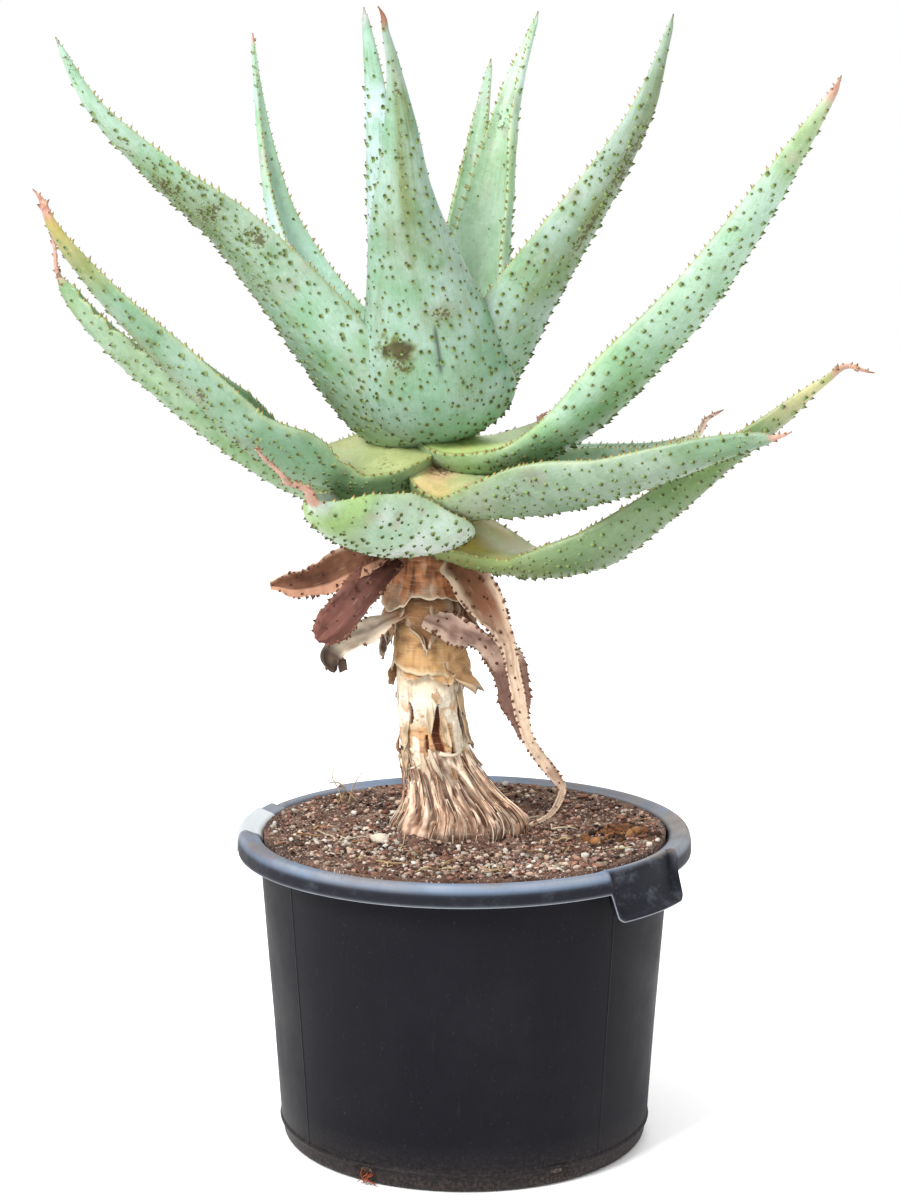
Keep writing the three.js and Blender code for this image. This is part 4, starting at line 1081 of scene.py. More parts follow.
leafKind = {
    "rootWide": 0.78, "tipWide": 2.4, "edge": 1.9, "rows": 110, "around": 54, "spacing": 9.2, "dry": 1.04,
    "yellow": 0.5, "wave": 1.6, "olive": 0.25, "green": 0.0, "margins": [[0, 0, 0], [1, 0, 0]],
    "rootThick": 1.0, "pinch": [0.98, 1.0, 1.0], "curl": [1.0, 0.0], "tipYellow": 0.0,
    "roll": [[0, 0], [1, 0]], "rootRound": 0.03, "fill": [0.0, 0.2], "tone": (1.0, 1.0, 1.0), "bare": 0.03,
    "baseTan": 0.5, "tipColors": [(236, 228, 168), (236, 186, 164)], "lobes": 0.0, "tipGreen": 0.0,
    "lift": (1.0, 1.0, 1.0),
}
leaves = [
    {"name": "leaf_heart", "az": 80, "route": [[6, 0, 650], [12, 0, 700], [16, 0, 750], [20, 0, 795]],
     "wide": 46, "thick": 13, "cup": [70, 75, 60], "taper": 1.2},
    {"name": "leaf_front", "az": 270,
     "route": [[2, 2, 674], [46, 2, 668], [84, 2, 694], [110, -1, 745], [130, -9, 800], [146, -18, 858],
         [163, -22, 925], [183, -28, 980], [205, -38, 1020]], "wide": 170, "thick": 22, "cup": [44, 57, 62],
     "taper": 1.75, "rootWide": 0.88, "yellow": 0.0, "olive": 0.9, "dry": 0.965, "curl": [0.94, 2.5],
     "tone": (0.78, 0.83, 0.75), "bare": 0.06, "tipColors": [(200, 190, 120), (176, 120, 96)],
     "around": 170, "rows": 140,
     "scars": [[0.335, -0.33, 0.024, 0.2, 1.3], [0.36, -0.45, 0.012, 0.12, 0.8],
         [0.3, -0.24, 0.012, 0.08, 0.9]],
     "stains": [[0.335, -0.33, 0.018, 0.17, 1.0], [0.3, -0.26, 0.03, 0.16, 0.7],
         [0.25, 0.4, 0.05, 0.14, 0.5], [0.4, 0.25, 0.016, 0.2, 0.75], [0.7, 0.0, 0.13, 0.2, 0.55],
         [0.86, 0.05, 0.08, 0.4, 0.6]],
     "shades": [[0.72, 0.0, 0.17, 0.2, 1.0], [0.58, -0.1, 0.13, 0.5, 0.5], [0.4, 0.25, 0.03, 0.3, 0.5]],
     "crease": [0.33, 0.13, 0.06]},
    {"name": "leaf_front_slim", "az": 222,
     "route": [[12, 0, 654], [38, 0, 700], [50, 0, 780], [57, 0, 866], [64, 0, 950], [74, 0, 1031]],
     "wide": 78, "thick": 15, "cup": [80, 70, 70], "taper": 0.9, "tone": (1.2, 1.15, 1.25)},
    {"name": "leaf_rear_steep", "az": 97,
     "route": [[6, 0, 656], [52, 0, 682], [100, 0, 740], [150, 0, 800], [205, 0, 845]], "wide": 96,
     "thick": 18, "cup": [60, 55, 50], "taper": 1.1},
    {"name": "leaf_back_right", "az": 42,
     "route": [[8, 0, 652], [46, 0, 694], [67, 0, 770], [82, 0, 850], [93, 0, 910], [108, 0, 970],
         [135, 0, 1037]], "wide": 122, "thick": 17, "cup": [65, 55, 92], "taper": 1.25, "green": 0.25,
     "tone": (1.24, 1.2, 1.14), "spacing": 11.5,
     "stains": [[0.6, 0.3, 0.04, 0.1, 0.9], [0.66, 0.15, 0.03, 0.1, 0.8], [0.3, 0.1, 0.08, 0.3, 0.5]]},
    {"name": "leaf_back", "az": 70,
     "route": [[8, 0, 646], [54, 0, 706], [84, 0, 790], [110, 0, 860], [134, 0, 920], [170, 0, 998]],
     "wide": 68, "thick": 16, "cup": [70, 70, 70], "taper": 1.1, "rootWide": 0.9, "green": 0.5},
    {"name": "leaf_back_left", "az": 145,
     "route": [[6, 0, 648], [56, 0, 680], [104, 0, 745], [144, 0, 800], [172, 0, 852], [186, 0, 912],
         [194, 0, 966], [200, 0, 1019]], "wide": 100, "thick": 17, "cup": [60, 65, 65], "taper": 1.7,
     "green": 0.4, "dry": 0.985, "tone": (1.1, 1.15, 1.2)},
    {"name": "leaf_high_right", "az": 322,
     "route": [[4, 0, 652], [46, 0, 674], [84, 0, 724], [121, 0, 780], [161, 0, 834], [199, 0, 886],
         [234, 0, 945], [258, 0, 1018]], "wide": 120, "thick": 19, "cup": [50, 60, 60], "taper": 1.12,
     "olive": 0.8, "green": 0.2, "tone": (0.9, 0.88, 0.86),
     "shades": [[0.62, 0.0, 0.2, 0.5, 0.5], [0.86, 0.0, 0.14, 0.9, 0.7]],
     "stains": [[0.72, 0.0, 0.12, 0.5, 0.7], [0.5, 0.3, 0.06, 0.3, 0.5], [0.58, -0.1, 0.1, 0.14, 0.85]],
     "crowd": [[0.7, -0.4, 0.05, 0.35, 30]]},
    {"name": "leaf_high_left", "az": 213,
     "route": [[4, 0, 654], [52, 0, 666], [104, 0, 720], [156, 0, 782], [208, 0, 838], [268, 0, 886],
         [326, 0, 940], [358, 0, 997]], "wide": 142, "thick": 21, "cup": [50, 62, 62],
     "roll": [[0, -4], [1, 8]], "taper": 1.05, "olive": 0.8, "tone": (0.86, 0.92, 0.8),
     "shades": [[0.62, 0.1, 0.12, 0.6, 0.8]],
     "stains": [[0.7, 0.3, 0.04, 0.4, 0.75], [0.62, 0.5, 0.03, 0.4, 0.75], [0.54, 0.75, 0.03, 0.2, 0.8],
         [0.46, 0.2, 0.04, 0.3, 0.6], [0.79, 0.2, 0.03, 0.4, 0.6]],
     "crowd": [[0.72, 0.5, 0.03, 0.3, 26], [0.65, 0.5, 0.03, 0.35, 34], [0.57, 0.5, 0.03, 0.3, 32],
         [0.49, 0.5, 0.03, 0.3, 24]]},
    {"name": "leaf_mid_right", "az": 335,
     "route": [[0, -24, 640], [48, -14, 634], [98, 0, 646], [152, 0, 674], [208, 0, 726], [262, 0, 784],
         [316, 0, 862], [380, 0, 967]], "wide": 124, "thick": 21, "cup": [24, 58, 60],
     "roll": [[0, -14], [0.12, -4], [0.3, 0], [1, 20]], "taper": 0.95, "rootWide": 0.4, "rootThick": 0.35,
     "dry": 0.962, "yellow": 1.0, "green": 0.25,
     "margins": [[0, 19, 12], [0.03, 16, 8], [0.06, 13, 4], [0.1, 2, 0], [0.15, -12, 0], [0.2, -17, 0],
         [0.25, -17, 0], [0.3, -13, 0], [0.42, 0, 0], [1, 0, 0]], "curl": [0.95, 3.0], "tipYellow": 0.4,
     "fill": [0.85, 0.3], "rootRound": 0.06, "tone": (0.94, 1.02, 0.86), "baseTan": 0.15,
     "lift": (1.2, 1.35, 1.1),
     "stains": [[0.22, -0.5, 0.03, 0.3, 0.6], [0.16, -0.6, 0.03, 0.3, 0.7], [0.33, 0.1, 0.03, 0.2, 0.5]]},
    {"name": "leaf_far_right", "az": 15,
     "route": [[6, 0, 628], [90, 0, 624], [150, 0, 628], [210, 0, 632], [252, 0, 644], [284, 0, 672]],
     "wide": 84, "thick": 16, "cup": [40, 60, 60], "taper": 1.0, "dry": 0.9, "tipYellow": 1.0,
     "pinch": [0.8, 0.9, 0.6], "curl": [0.88, 4.0], "green": 0.4,
     "tipColors": [(240, 236, 190), (255, 226, 206)]},
    {"name": "leaf_rear", "az": 90,
     "route": [[6, 0, 632], [80, 0, 644], [150, 0, 698], [220, 0, 750], [285, 0, 788]], "wide": 104,
     "thick": 18, "cup": [45, 55, 50], "taper": 1.0, "dry": 0.975},
    {"name": "leaf_low_left", "az": 202,
     "route": [[2, 14, 632], [56, 8, 620], [116, 0, 628], [165, 0, 656], [215, 0, 702], [278, 0, 764],
         [330, 0, 824], [358, 0, 875]], "wide": 134, "thick": 20, "cup": [36, 60, 60],
     "roll": [[0, 30], [0.1, 16], [0.2, -8], [0.3, 0], [0.42, 13], [0.6, 8], [1, 0]], "taper": 0.95,
     "rootWide": 0.9, "rootThick": 0.2, "dry": 0.95, "yellow": 1.0, "tipYellow": 1.0, "curl": [0.93, 3.0],
     "fill": [0.8, 0.3], "rootRound": 0.09, "tone": (0.58, 0.67, 0.52), "baseTan": 0.3,
     "tipColors": [(196, 178, 90), (218, 172, 148)],
     "margins": [[0, 0, 24], [0.06, 0, 21], [0.1, 0, 11], [0.15, 0, -17], [0.2, 4, -28], [0.25, 0, -12],
         [0.3, 0, 5], [0.4, 0, 0], [1, 0, 0]],
     "shades": [[0.64, 0.1, 0.16, 0.3, 0.8], [0.4, 0.1, 0.12, 0.3, 0.5]],
     "stains": [[0.64, 0.05, 0.06, 0.2, 0.75], [0.52, 0.45, 0.02, 0.15, 0.85]]},
    {"name": "leaf_rear_left", "az": 150,
     "route": [[6, 0, 616], [90, 0, 606], [150, 0, 630], [205, 0, 654], [262, 0, 700]], "wide": 96,
     "thick": 17, "cup": [45, 58, 55], "taper": 1.0, "green": 0.4},
    {"name": "leaf_rear_low", "az": 62,
     "route": [[6, 0, 608], [90, 0, 604], [150, 0, 614], [205, 0, 630], [250, 0, 655]], "wide": 90,
     "thick": 17, "cup": [45, 58, 55], "taper": 1.0, "dry": 0.93, "tipYellow": 0.8,
     "pinch": [0.84, 0.93, 0.6], "curl": [0.9, 4.0]},
    {"name": "leaf_under_left", "az": 186,
     "route": [[6, 0, 604], [64, 0, 600], [118, 0, 614], [170, 0, 644], [230, 0, 690], [287, 0, 740],
         [324, 0, 788], [337, 0, 838]], "wide": 124, "thick": 18, "cup": [40, 56, 60],
     "roll": [[0, 6], [1, 0]], "taper": 0.8, "dry": 0.905, "yellow": 0.7, "green": 0.4,
     "pinch": [0.87, 0.915, 0.24], "curl": [0.92, 3.0], "tone": (0.66, 0.72, 0.5), "lobes": 5.0},
    {"name": "leaf_low_right", "az": 325,
     "route": [[10, -38, 605], [60, -18, 600], [130, 0, 604], [190, 0, 618], [250, 0, 638], [310, 0, 660],
         [366, 0, 676]], "wide": 128, "thick": 19, "cup": [34, 58, 60],
     "roll": [[0, -26], [0.2, -8], [1, 34]], "taper": 0.95, "rootThick": 0.5, "dry": 0.955, "yellow": 1.0,
     "pinch": [0.93, 0.965, 0.45], "curl": [0.95, 4.0], "fill": [0.95, 0.42], "rootRound": 0.05,
     "tone": (0.67, 0.66, 0.54), "lift": (1.2, 1.22, 1.3), "baseTan": 0.4,
     "margins": [[0, 37, 4], [0.03, 30, 4], [0.06, 19, 4], [0.1, 8, 3], [0.15, 4, 2], [0.2, 4, 0],
         [0.25, 7, 0], [0.3, 10, 0], [0.4, 9, 0], [0.55, 0, 0], [1, 0, 0]],
     "innerStains": [[0.075, 0.0, 0.05, 0.6, 0.85], [0.1, 0.3, 0.02, 0.3, 0.9]]},
    {"name": "leaf_near_left", "az": 242,
     "route": [[2, 8, 576], [70, 6, 566], [122, 0, 576], [170, 0, 594], [205, 0, 616], [252, 0, 644],
         [300, 0, 670]], "wide": 170, "thick": 20, "cup": [58, 78, 65], "taper": 1.5, "rootWide": 0.95,
     "rootThick": 0.5, "dry": 0.655, "yellow": 0.1, "spacing": 9.6, "pinch": [0.54, 0.665, 0.18],
     "curl": [0.66, 3.5], "tipGreen": 0.9, "rootRound": 0.2, "tone": (1.55, 1.28, 1.34),
     "margins": [[0, 0, -38], [0.1, 0, -27], [0.2, 0, -19], [0.3, 0, -5], [0.4, 0, 6], [0.5, 0, 4],
         [0.6, 0, 0], [1, 0, 0]]},
    {"name": "leaf_under_right", "az": 342,
     "route": [[4, -12, 568], [60, -5, 548], [105, 0, 541], [160, 0, 552], [207, 0, 584], [269, 0, 636],
         [322, 0, 678], [350, 0, 704], [374, 0, 720], [402, 0, 724]], "wide": 104, "thick": 18,
     "cup": [45, 50, 60], "roll": [[0, -26], [0.1, -8], [0.2, 14], [0.5, 12], [1, 0]], "taper": 0.9,
     "rootWide": 0.66, "dry": 0.925, "yellow": 1.0, "olive": 0.3, "green": 0.7, "tipYellow": 1.0,
     "pinch": [0.8, 0.93, 0.7], "curl": [0.9, 5.0], "fill": [0.8, 0.3], "rootRound": 0.05,
     "tone": (0.43, 0.48, 0.27), "baseTan": 0.5, "lift": (0.94, 0.98, 0.4),
     "innerStains": [[0.06, 0.0, 0.05, 0.8, 0.5]],
     "margins": [[0, 0, 0], [0.1, -2, 0], [0.15, -19, 0], [0.2, -19, 0], [0.25, -11, 0], [0.3, -4, 0],
         [0.4, 0, 0], [1, 0, 0]]},
]

# Dry leaves on the stem, by the same rules. widths: [share of the length, width]. color, inner, dark: the
# outer and the inner face, and the blots on both. margin: its screen colour. blots: how bold they are.
# middle, or hollow as [share, amount]: painted shade in the channel. hard: how far the tint stays plain.
# rootDark, rootColor: share up to where the root has this colour. end: share from where the end is dark.
# fold: side, place across and screen colour of one side of the leaf: a paler band on the left leaf, painted
# shade on the mauve one. horn: size of the prickles.
dryKind = {
    **leafKind, "edge": 1.0, "rows": 120, "around": 44, "spacing": 9.5, "wave": 2.2,
    "margin": (246, 208, 176), "middle": 0.5, "blots": 0.65, "hard": 0.35, "horn": 1.1,
}
dryLeaves = [
    {"name": "dry_leaf_left", "az": 270,
     "route": [[22, -26, 556], [28, -46, 550], [32, -79, 538], [31, -100, 530], [30, -118, 525],
         [30, -143, 522]], "widths": [[0, 20], [0.3, 38], [0.55, 41], [0.8, 32], [1, 8]], "thick": 3.2,
     "cup": [60, 62, 70], "color": paint(176, 122, 88), "dark": paint(96, 60, 42),
     "inner": paint(150, 100, 74), "fold": [1, 0.42, (226, 170, 138)]},
    {"name": "dry_leaf_mauve", "az": 270,
     "route": [[28, -28, 546], [40, -49, 529], [50, -66, 511], [54, -83, 493], [56, -100, 476]],
     "widths": [[0, 26], [0.4, 36], [0.8, 37], [0.93, 27], [1, 8]], "thick": 4.5, "cup": [50, 40, 40],
     "color": paint(150, 98, 84), "dark": paint(66, 40, 34), "inner": paint(152, 98, 86),
     "margin": (168, 114, 100), "rootDark": 0.62, "rootColor": (92, 52, 40),
     "fold": [1, 0.4, (104, 62, 54)], "horn": 1.6},
    {"name": "dry_scrap", "az": 270,
     "route": [[25, -15, 501], [38, -38, 489], [44, -58, 480], [46, -76, 474], [46, -88, 462],
         [44, -84, 452], [43, -74, 453]], "widths": [[0, 9], [0.2, 14], [0.4, 25], [0.75, 25], [1, 14]],
     "thick": 2.4, "cup": [30, 40, 60], "hard": 0.85, "spacing": 26, "color": paint(250, 228, 200) * 1.2,
     "dark": paint(70, 46, 36), "inner": paint(250, 230, 204) * 1.25, "rootDark": 0.36,
     "rootColor": (190, 128, 84), "end": 0.68, "blots": 0.3, "margin": (255, 240, 214)},
    {"name": "dry_strap", "az": 270,
     "route": [[34, 22, 548], [46, 42, 522], [54, 60, 494], [58, 71, 470], [60, 78, 438], [62, 88, 392],
         [62, 101, 370], [60, 114, 353], [58, 121, 340], [55, 117, 325], [50, 108, 312], [46, 92, 303]],
     "widths": [[0, 46], [0.15, 42], [0.35, 15], [0.6, 13], [0.75, 12], [0.85, 7], [1, 3.4]], "thick": 3.6,
     "cup": [75, 55, 40], "color": paint(255, 222, 190), "dark": paint(148, 98, 70),
     "inner": paint(255, 226, 196), "hollow": [[0, 1], [0.2, 1], [0.34, 0.25], [0.4, 0], [1, 0]],
     "margin": (252, 222, 194)},
    {"name": "dry_leaf_folded", "az": 270,
     "route": [[37, -4, 492], [44, 18, 486], [42, 40, 478], [30, 60, 468], [22, 72, 448], [22, 78, 414],
         [32, 86, 380]], "widths": [[0, 24], [0.3, 30], [0.5, 36], [0.75, 32], [1, 9]], "thick": 3,
     "cup": [30, 30, 45], "color": paint(244, 204, 180), "dark": paint(140, 102, 90),
     "inner": paint(250, 214, 192), "margin": (248, 220, 196), "end": 0.52},
]


def leafFrame(leaf, t):
    # place, frame, width, thickness and cup at shares t of the length, as in the CAD model
    az = math.radians(leaf["az"])
    outward = np.array([math.cos(az), math.sin(az), 0])
    across = np.array([-math.sin(az), math.cos(az), 0])
    route = np.array([crown + outward * o + across * s + np.array([0, 0, u]) for o, s, u in leaf["route"]])
    place, length = curvePoints(route, t)
    ahead, _ = curvePoints(route, np.clip(t + 0.004, 0, 1))
    behind, _ = curvePoints(route, np.clip(t - 0.004, 0, 1))
    along = unit(ahead - behind)
    side = unit(across - along * (along @ across)[:, None])
    inward = np.cross(along, side)
    roll = np.radians(listed(leaf["roll"], t))[:, None]
    normal = inward * np.cos(roll) + side * np.sin(roll)
    sideways = side * np.cos(roll) - inward * np.sin(roll)
    # the width swells from the root to 18 % of the length, then narrows by a power of the rest
    if "widths" in leaf:
        width = eased(leaf["widths"], t)
    else:
        swell = mix(leaf["rootWide"], 1, np.sin(np.clip(t / 0.18, 0, 1) * np.pi / 2))
        narrow = (1 - np.clip((t - 0.18) / 0.82, 0, 1) ** 1.25) ** leaf["taper"]
        width = leaf["tipWide"] + (leaf["wide"] - leaf["tipWide"]) * swell * narrow
    start, end, share = leaf["pinch"]
    pinched = mix(1, share, ramp(start, end, t))
    rounded = np.sqrt(1 - (1 - np.clip(t / leaf["rootRound"], 0, 1)) ** 2)
    width = width * pinched * mix(0.1, 1, rounded)
    tipThick = 1.4 if leaf["thick"] < 8 else 2.0
    thick = tipThick + (leaf["thick"] - tipThick) * (1 - t ** 1.5)
    thick = thick * mix(leaf["rootThick"], 1, smooth(t / 0.14)) * mix(1, 0.6, 1 - pinched) * pinched ** 0.5
    sharp = 1 if "widths" in leaf else mix(0.3, 1, ramp(1.0, 0.972, t))
    root, middle, tip = leaf["cup"]
    lower, upper = mix(root, middle, smooth(t / 0.35)), mix(middle, tip, smooth((t - 0.35) / 0.65))
    cup = np.where(t < 0.35, lower, upper)
    # the dried tip swings to both sides by sines of two lengths
    curlFrom, curlBy = leaf["curl"]
    wriggle = (curlBy * ramp(curlFrom, min(curlFrom + 0.06, 1.01), t) * (t < 1.01))[:, None]
    phase = ((t - curlFrom) * length / 7)[:, None]
    place = place + sideways * (wriggle * np.sin(phase * 0.9)) + normal * (wriggle * np.sin(phase * 0.6))
    # the margins' table, averaged over 8 % of the length
    table = np.array(leaf["margins"], float)
    near = [np.clip(t + mix(-0.04, 0.04, k / 8), 0, 1) for k in range(9)]
    raised = [np.mean([eased(table[:, [0, k]], share) for share in near], axis=0) for k in (1, 2)]
    full, reach = leaf["fill"]
    return {"t": t, "place": place, "along": along, "normal": normal, "sideways": sideways,
            "width": width * sharp, "thick": thick * sharp, "edge": leaf["edge"] * sharp + 0 * t,
            "cup": np.radians(cup), "length": length, "raised": raised,
            "fill": full * ramp(reach, reach * 0.25, t)}


def leafSurface(leaf, f, v, face):
    # point at v across (-1 to 1) on the inner face (1) or the outer one (-1), with the local outward
    # direction: the section is an arc of the width, bent through the cup, and as thick as the face says
    wanted = ("t", "width", "cup", "thick", "edge", "fill", "normal", "sideways")
    t, width, cup, thick, edge, full, normal, sideways = (f[key][:, None] for key in wanted)
    radius = width / 2 / cup
    bend = v * cup
    cos, sin = np.cos(bend)[..., None], np.sin(bend)[..., None]
    s = np.sqrt(np.clip(1 - v ** 2, 0, 1))
    offset = np.where(face > 0, 0.3, 0.7) * thick * s ** 1.1 + 0.5 * edge * s ** 0.5
    offset = offset * np.where(face > 0, 1, -1)
    # the margins wave by sines of two lengths, less where the leaf is slim
    slim = np.minimum(1, width / 50)
    phase = t * f["length"] / 17
    wave = leaf["wave"] * np.abs(v) ** 3 * slim
    side = np.sign(v)
    offset = offset + wave * (np.sin(phase + 3 * side) * 0.6 + np.sin(phase * 0.43 + 1.7 * side))
    outDir = normal * cos - sideways * sin
    # a fleshy base fills the channel: the inner face rises towards the line between the margins
    fill = full * (face > 0) * (1 - v ** 8)
    rise = mix(radius * (1 - np.cos(bend)), radius * (1 - np.cos(cup)), fill)
    left, right = f["raised"][0][:, None], f["raised"][1][:, None]
    raised = mix(np.where(v < 0, left, right) * np.abs(v) ** 1.6, mix(left, right, (v + 1) / 2), fill)
    point = (f["place"][:, None] + sideways * (radius * np.sin(bend))[..., None]
             + normal * rise[..., None] + outDir * offset[..., None])
    point = point + raised[..., None] * np.array([0, 0, 1.0])
    if leaf["lobes"]:
        # rounded lobes along the near margin, pushed out along the blade
        swell = np.abs(np.sin(t * f["length"] / 7.5 + 0.6 * np.sin(t * 31))) * ramp(0.3, 0.45, t)
        push = leaf["lobes"] * slim * swell * ramp(0.55, 1.0, v)
        point = point + (sideways * cos + normal * sin) * push[..., None]
    return point, outDir


def circles(directions, helper, angle):
    # unit vectors from an axis to the points of a circle about it, for each direction
    u = unit(np.cross(directions, helper))
    w = np.cross(directions, u)
    return u[:, None] * np.cos(angle)[None, :, None] + w[:, None] * np.sin(angle)[None, :, None]


def prickles(points, directions, sizes, profile, sides, tints):
    # cones with a flared root: rings at the profile's heights and radii, the last one a single point;
    # tints has one colour for each ring of each prickle
    helper = np.where(np.abs(directions[:, 2:3]) < 0.8, [[0.0, 0, 1]], [[1.0, 0, 0]])
    ring = circles(directions, helper, np.arange(sides) * 2 * np.pi / sides)
    stages = []
    shades = []
    for (high, radius), tint in zip(profile, tints):
        middle = points[:, None] + directions[:, None] * (high * sizes)[:, None, None]
        stages.append(middle + ring * (radius * sizes)[:, None, None] if radius else middle)
        shades.append(np.broadcast_to(tint[:, None], stages[-1].shape))
    rings = len(profile) - 1
    per = sides * rings + 1
    quads = gridFaces(rings, sides)
    tris = capFaces(np.arange(sides) + sides * (rings - 1), per - 1, flip=True)
    start = (np.arange(len(points)) * per)[:, None, None]
    return (np.concatenate(stages, axis=1).reshape(-1, 3), (quads[None] + start).reshape(-1, 4),
            (tris[None] + start).reshape(-1, 3), np.concatenate(shades, axis=1).reshape(-1, 3))


# Kinds of prickles. profile: height and radius of each ring, for a prickle of size 1. hard: see Bunch.

prickleSides = 5
wart = {
    "profile": [(-1.3, 2.7), (0.5, 1.75), (1.6, 0.9), (3.3, 0)],
    "tints": [paint(160, 196, 130), paint(140, 164, 86), paint(82, 80, 40), paint(64, 38, 26)],
    "hard": [0.1, 0.6, 0.95, 1],
}
tooth = {
    "profile": [(-1.6, 2.0), (0.5, 1.25), (1.6, 0.65), (3.6, 0)],
    "tints": [paint(186, 206, 136), paint(186, 196, 112), paint(186, 128, 70), paint(120, 58, 38)],
    "hard": [0.2, 0.7, 1, 1],
}
dryHorn = {
    "profile": [(-1.0, 2.0), (0.4, 1.3), (1.3, 0.75), (3.0, 0)],
    "tints": [paint(160, 114, 90), paint(138, 92, 68), paint(92, 52, 38), paint(58, 28, 22)],
    "hard": [0.3, 0.8, 1, 1],
}
rusty = [paint(236, 176, 156), paint(214, 140, 118), paint(150, 74, 58), paint(110, 46, 38)]


def pricklePlaces(leaf, rng, spacing, face, margin):
    # share of the length, place across and face, an even distance apart in staggered rows along the leaf,
    # each pushed a little at random; with margin, only along the two margins
    shares = np.linspace(0, 1, 400)
    probe = leafFrame(leaf, shares)
    step = spacing / probe["length"]
    row = 0
    share = 0.04 + rng.uniform(0, 0.5) * step
    found = []
    while share < 0.99:
        width = float(np.interp(share, shares, probe["width"]))
        if margin:
            found += [(share + rng.uniform(-0.25, 0.25) * step, side, face) for side in (-1, 1)]
        else:
            count = max(1, int(round(width * 0.86 / spacing)))
            slots = (np.arange(count) + (0.25 if row % 2 else 0.75)) / count * 1.84 - 0.92
            for v in slots:
                push = rng.uniform(-0.46, 0.46, 2) * spacing
                across = np.clip(v + push[1] / (width / 2), -0.9, 0.9)
                found.append((share + push[0] / probe["length"], across, face))
        share += spacing * (rng.uniform(0.6, 1.2) if margin else 1.0) / probe["length"]
        row += 1
    return np.array(found)


def addPrickles(made, leaf, places, kind, rng, lean, size, bare=0.02):
    # prickles that lean towards the tip; size is lowered on slim parts, and on the dried tip they are rusty
    places = places[(places[:, 0] > bare) & (places[:, 0] < 0.994)]
    t, v, face = places[np.argsort(places[:, 0])].T
    count = len(t)
    f = leafFrame(leaf, t)
    point, outDir = leafSurface(leaf, f, v[:, None], face[:, None])
    point, outDir = point[:, 0], outDir[:, 0] * face[:, None]
    bend = (v * f["cup"])[:, None]
    rim = (f["sideways"] * np.cos(bend) + f["normal"] * np.sin(bend)) * np.sign(v)[:, None]
    onRim = (np.abs(v) > 0.97)[:, None]
    direction = np.where(onRim, rim + outDir * rng.uniform(-0.35, 0.35, (count, 1)), outDir)
    direction = unit(direction + f["along"] * lean + rng.normal(0, 0.13, (count, 3)))
    sizes = size * np.minimum(1, 0.5 + f["width"] / 60) * rng.uniform(0.45, 1.2, count)
    warm = mix(0.85, 1.12, rng.uniform(0, 1, (count, 1)))
    tints = [color * warm for color in kind["tints"]]
    if leaf["dry"] < 1:
        gone = 0.75 * ramp(leaf["dry"] - 0.04, leaf["dry"] + 0.02, t)
        sizes = sizes * (1 + 0.8 * gone)
        tints = [layered(tint, (color, gone)) for tint, color in zip(tints, rusty)]
    *faces, shade = prickles(point, direction, sizes, kind["profile"], prickleSides, tints)
    hard = np.tile(np.repeat(kind["hard"], [prickleSides] * 3 + [1]), count)
    made.add(*faces, shade, hard)


leafTones = {
    "bloom": paint(204, 232, 222), "green": paint(166, 212, 180), "deep": paint(138, 188, 146),
    "fresh": paint(166, 204, 118), "inside": paint(194, 230, 200), "yellow": paint(222, 232, 160),
    "base": paint(238, 208, 140), "olive": paint(156, 160, 92), "seam": paint(140, 166, 74),
    "shade": paint(122, 144, 84), "tan": paint(240, 198, 156), "tipRed": paint(166, 92, 70),
    "crease": paint(58, 72, 44), "mauve": paint(188, 178, 174), "rim": paint(216, 230, 176),
    "brown": paint(146, 88, 54), "scratch": paint(112, 124, 40), "scratchDark": paint(62, 54, 12),
}


def spotAt(t, v, spot):
    # a soft oval: its power in the middle, fading with the squares of both distances
    at, side, reach, wide, power = spot
    return power * np.exp(-((t - at) / reach) ** 2 - ((v - side) / wide) ** 2)


def creaseAt(leaf, t, v, face, wide):
    # a sharp line on the outer face that ends softly; it sinks a groove, and painted shade darkens it
    at, side, reach = leaf["crease"]
    return bell((v - side) / wide) * ramp(reach, reach * 0.6, np.abs(t - at)) * (face < 0)


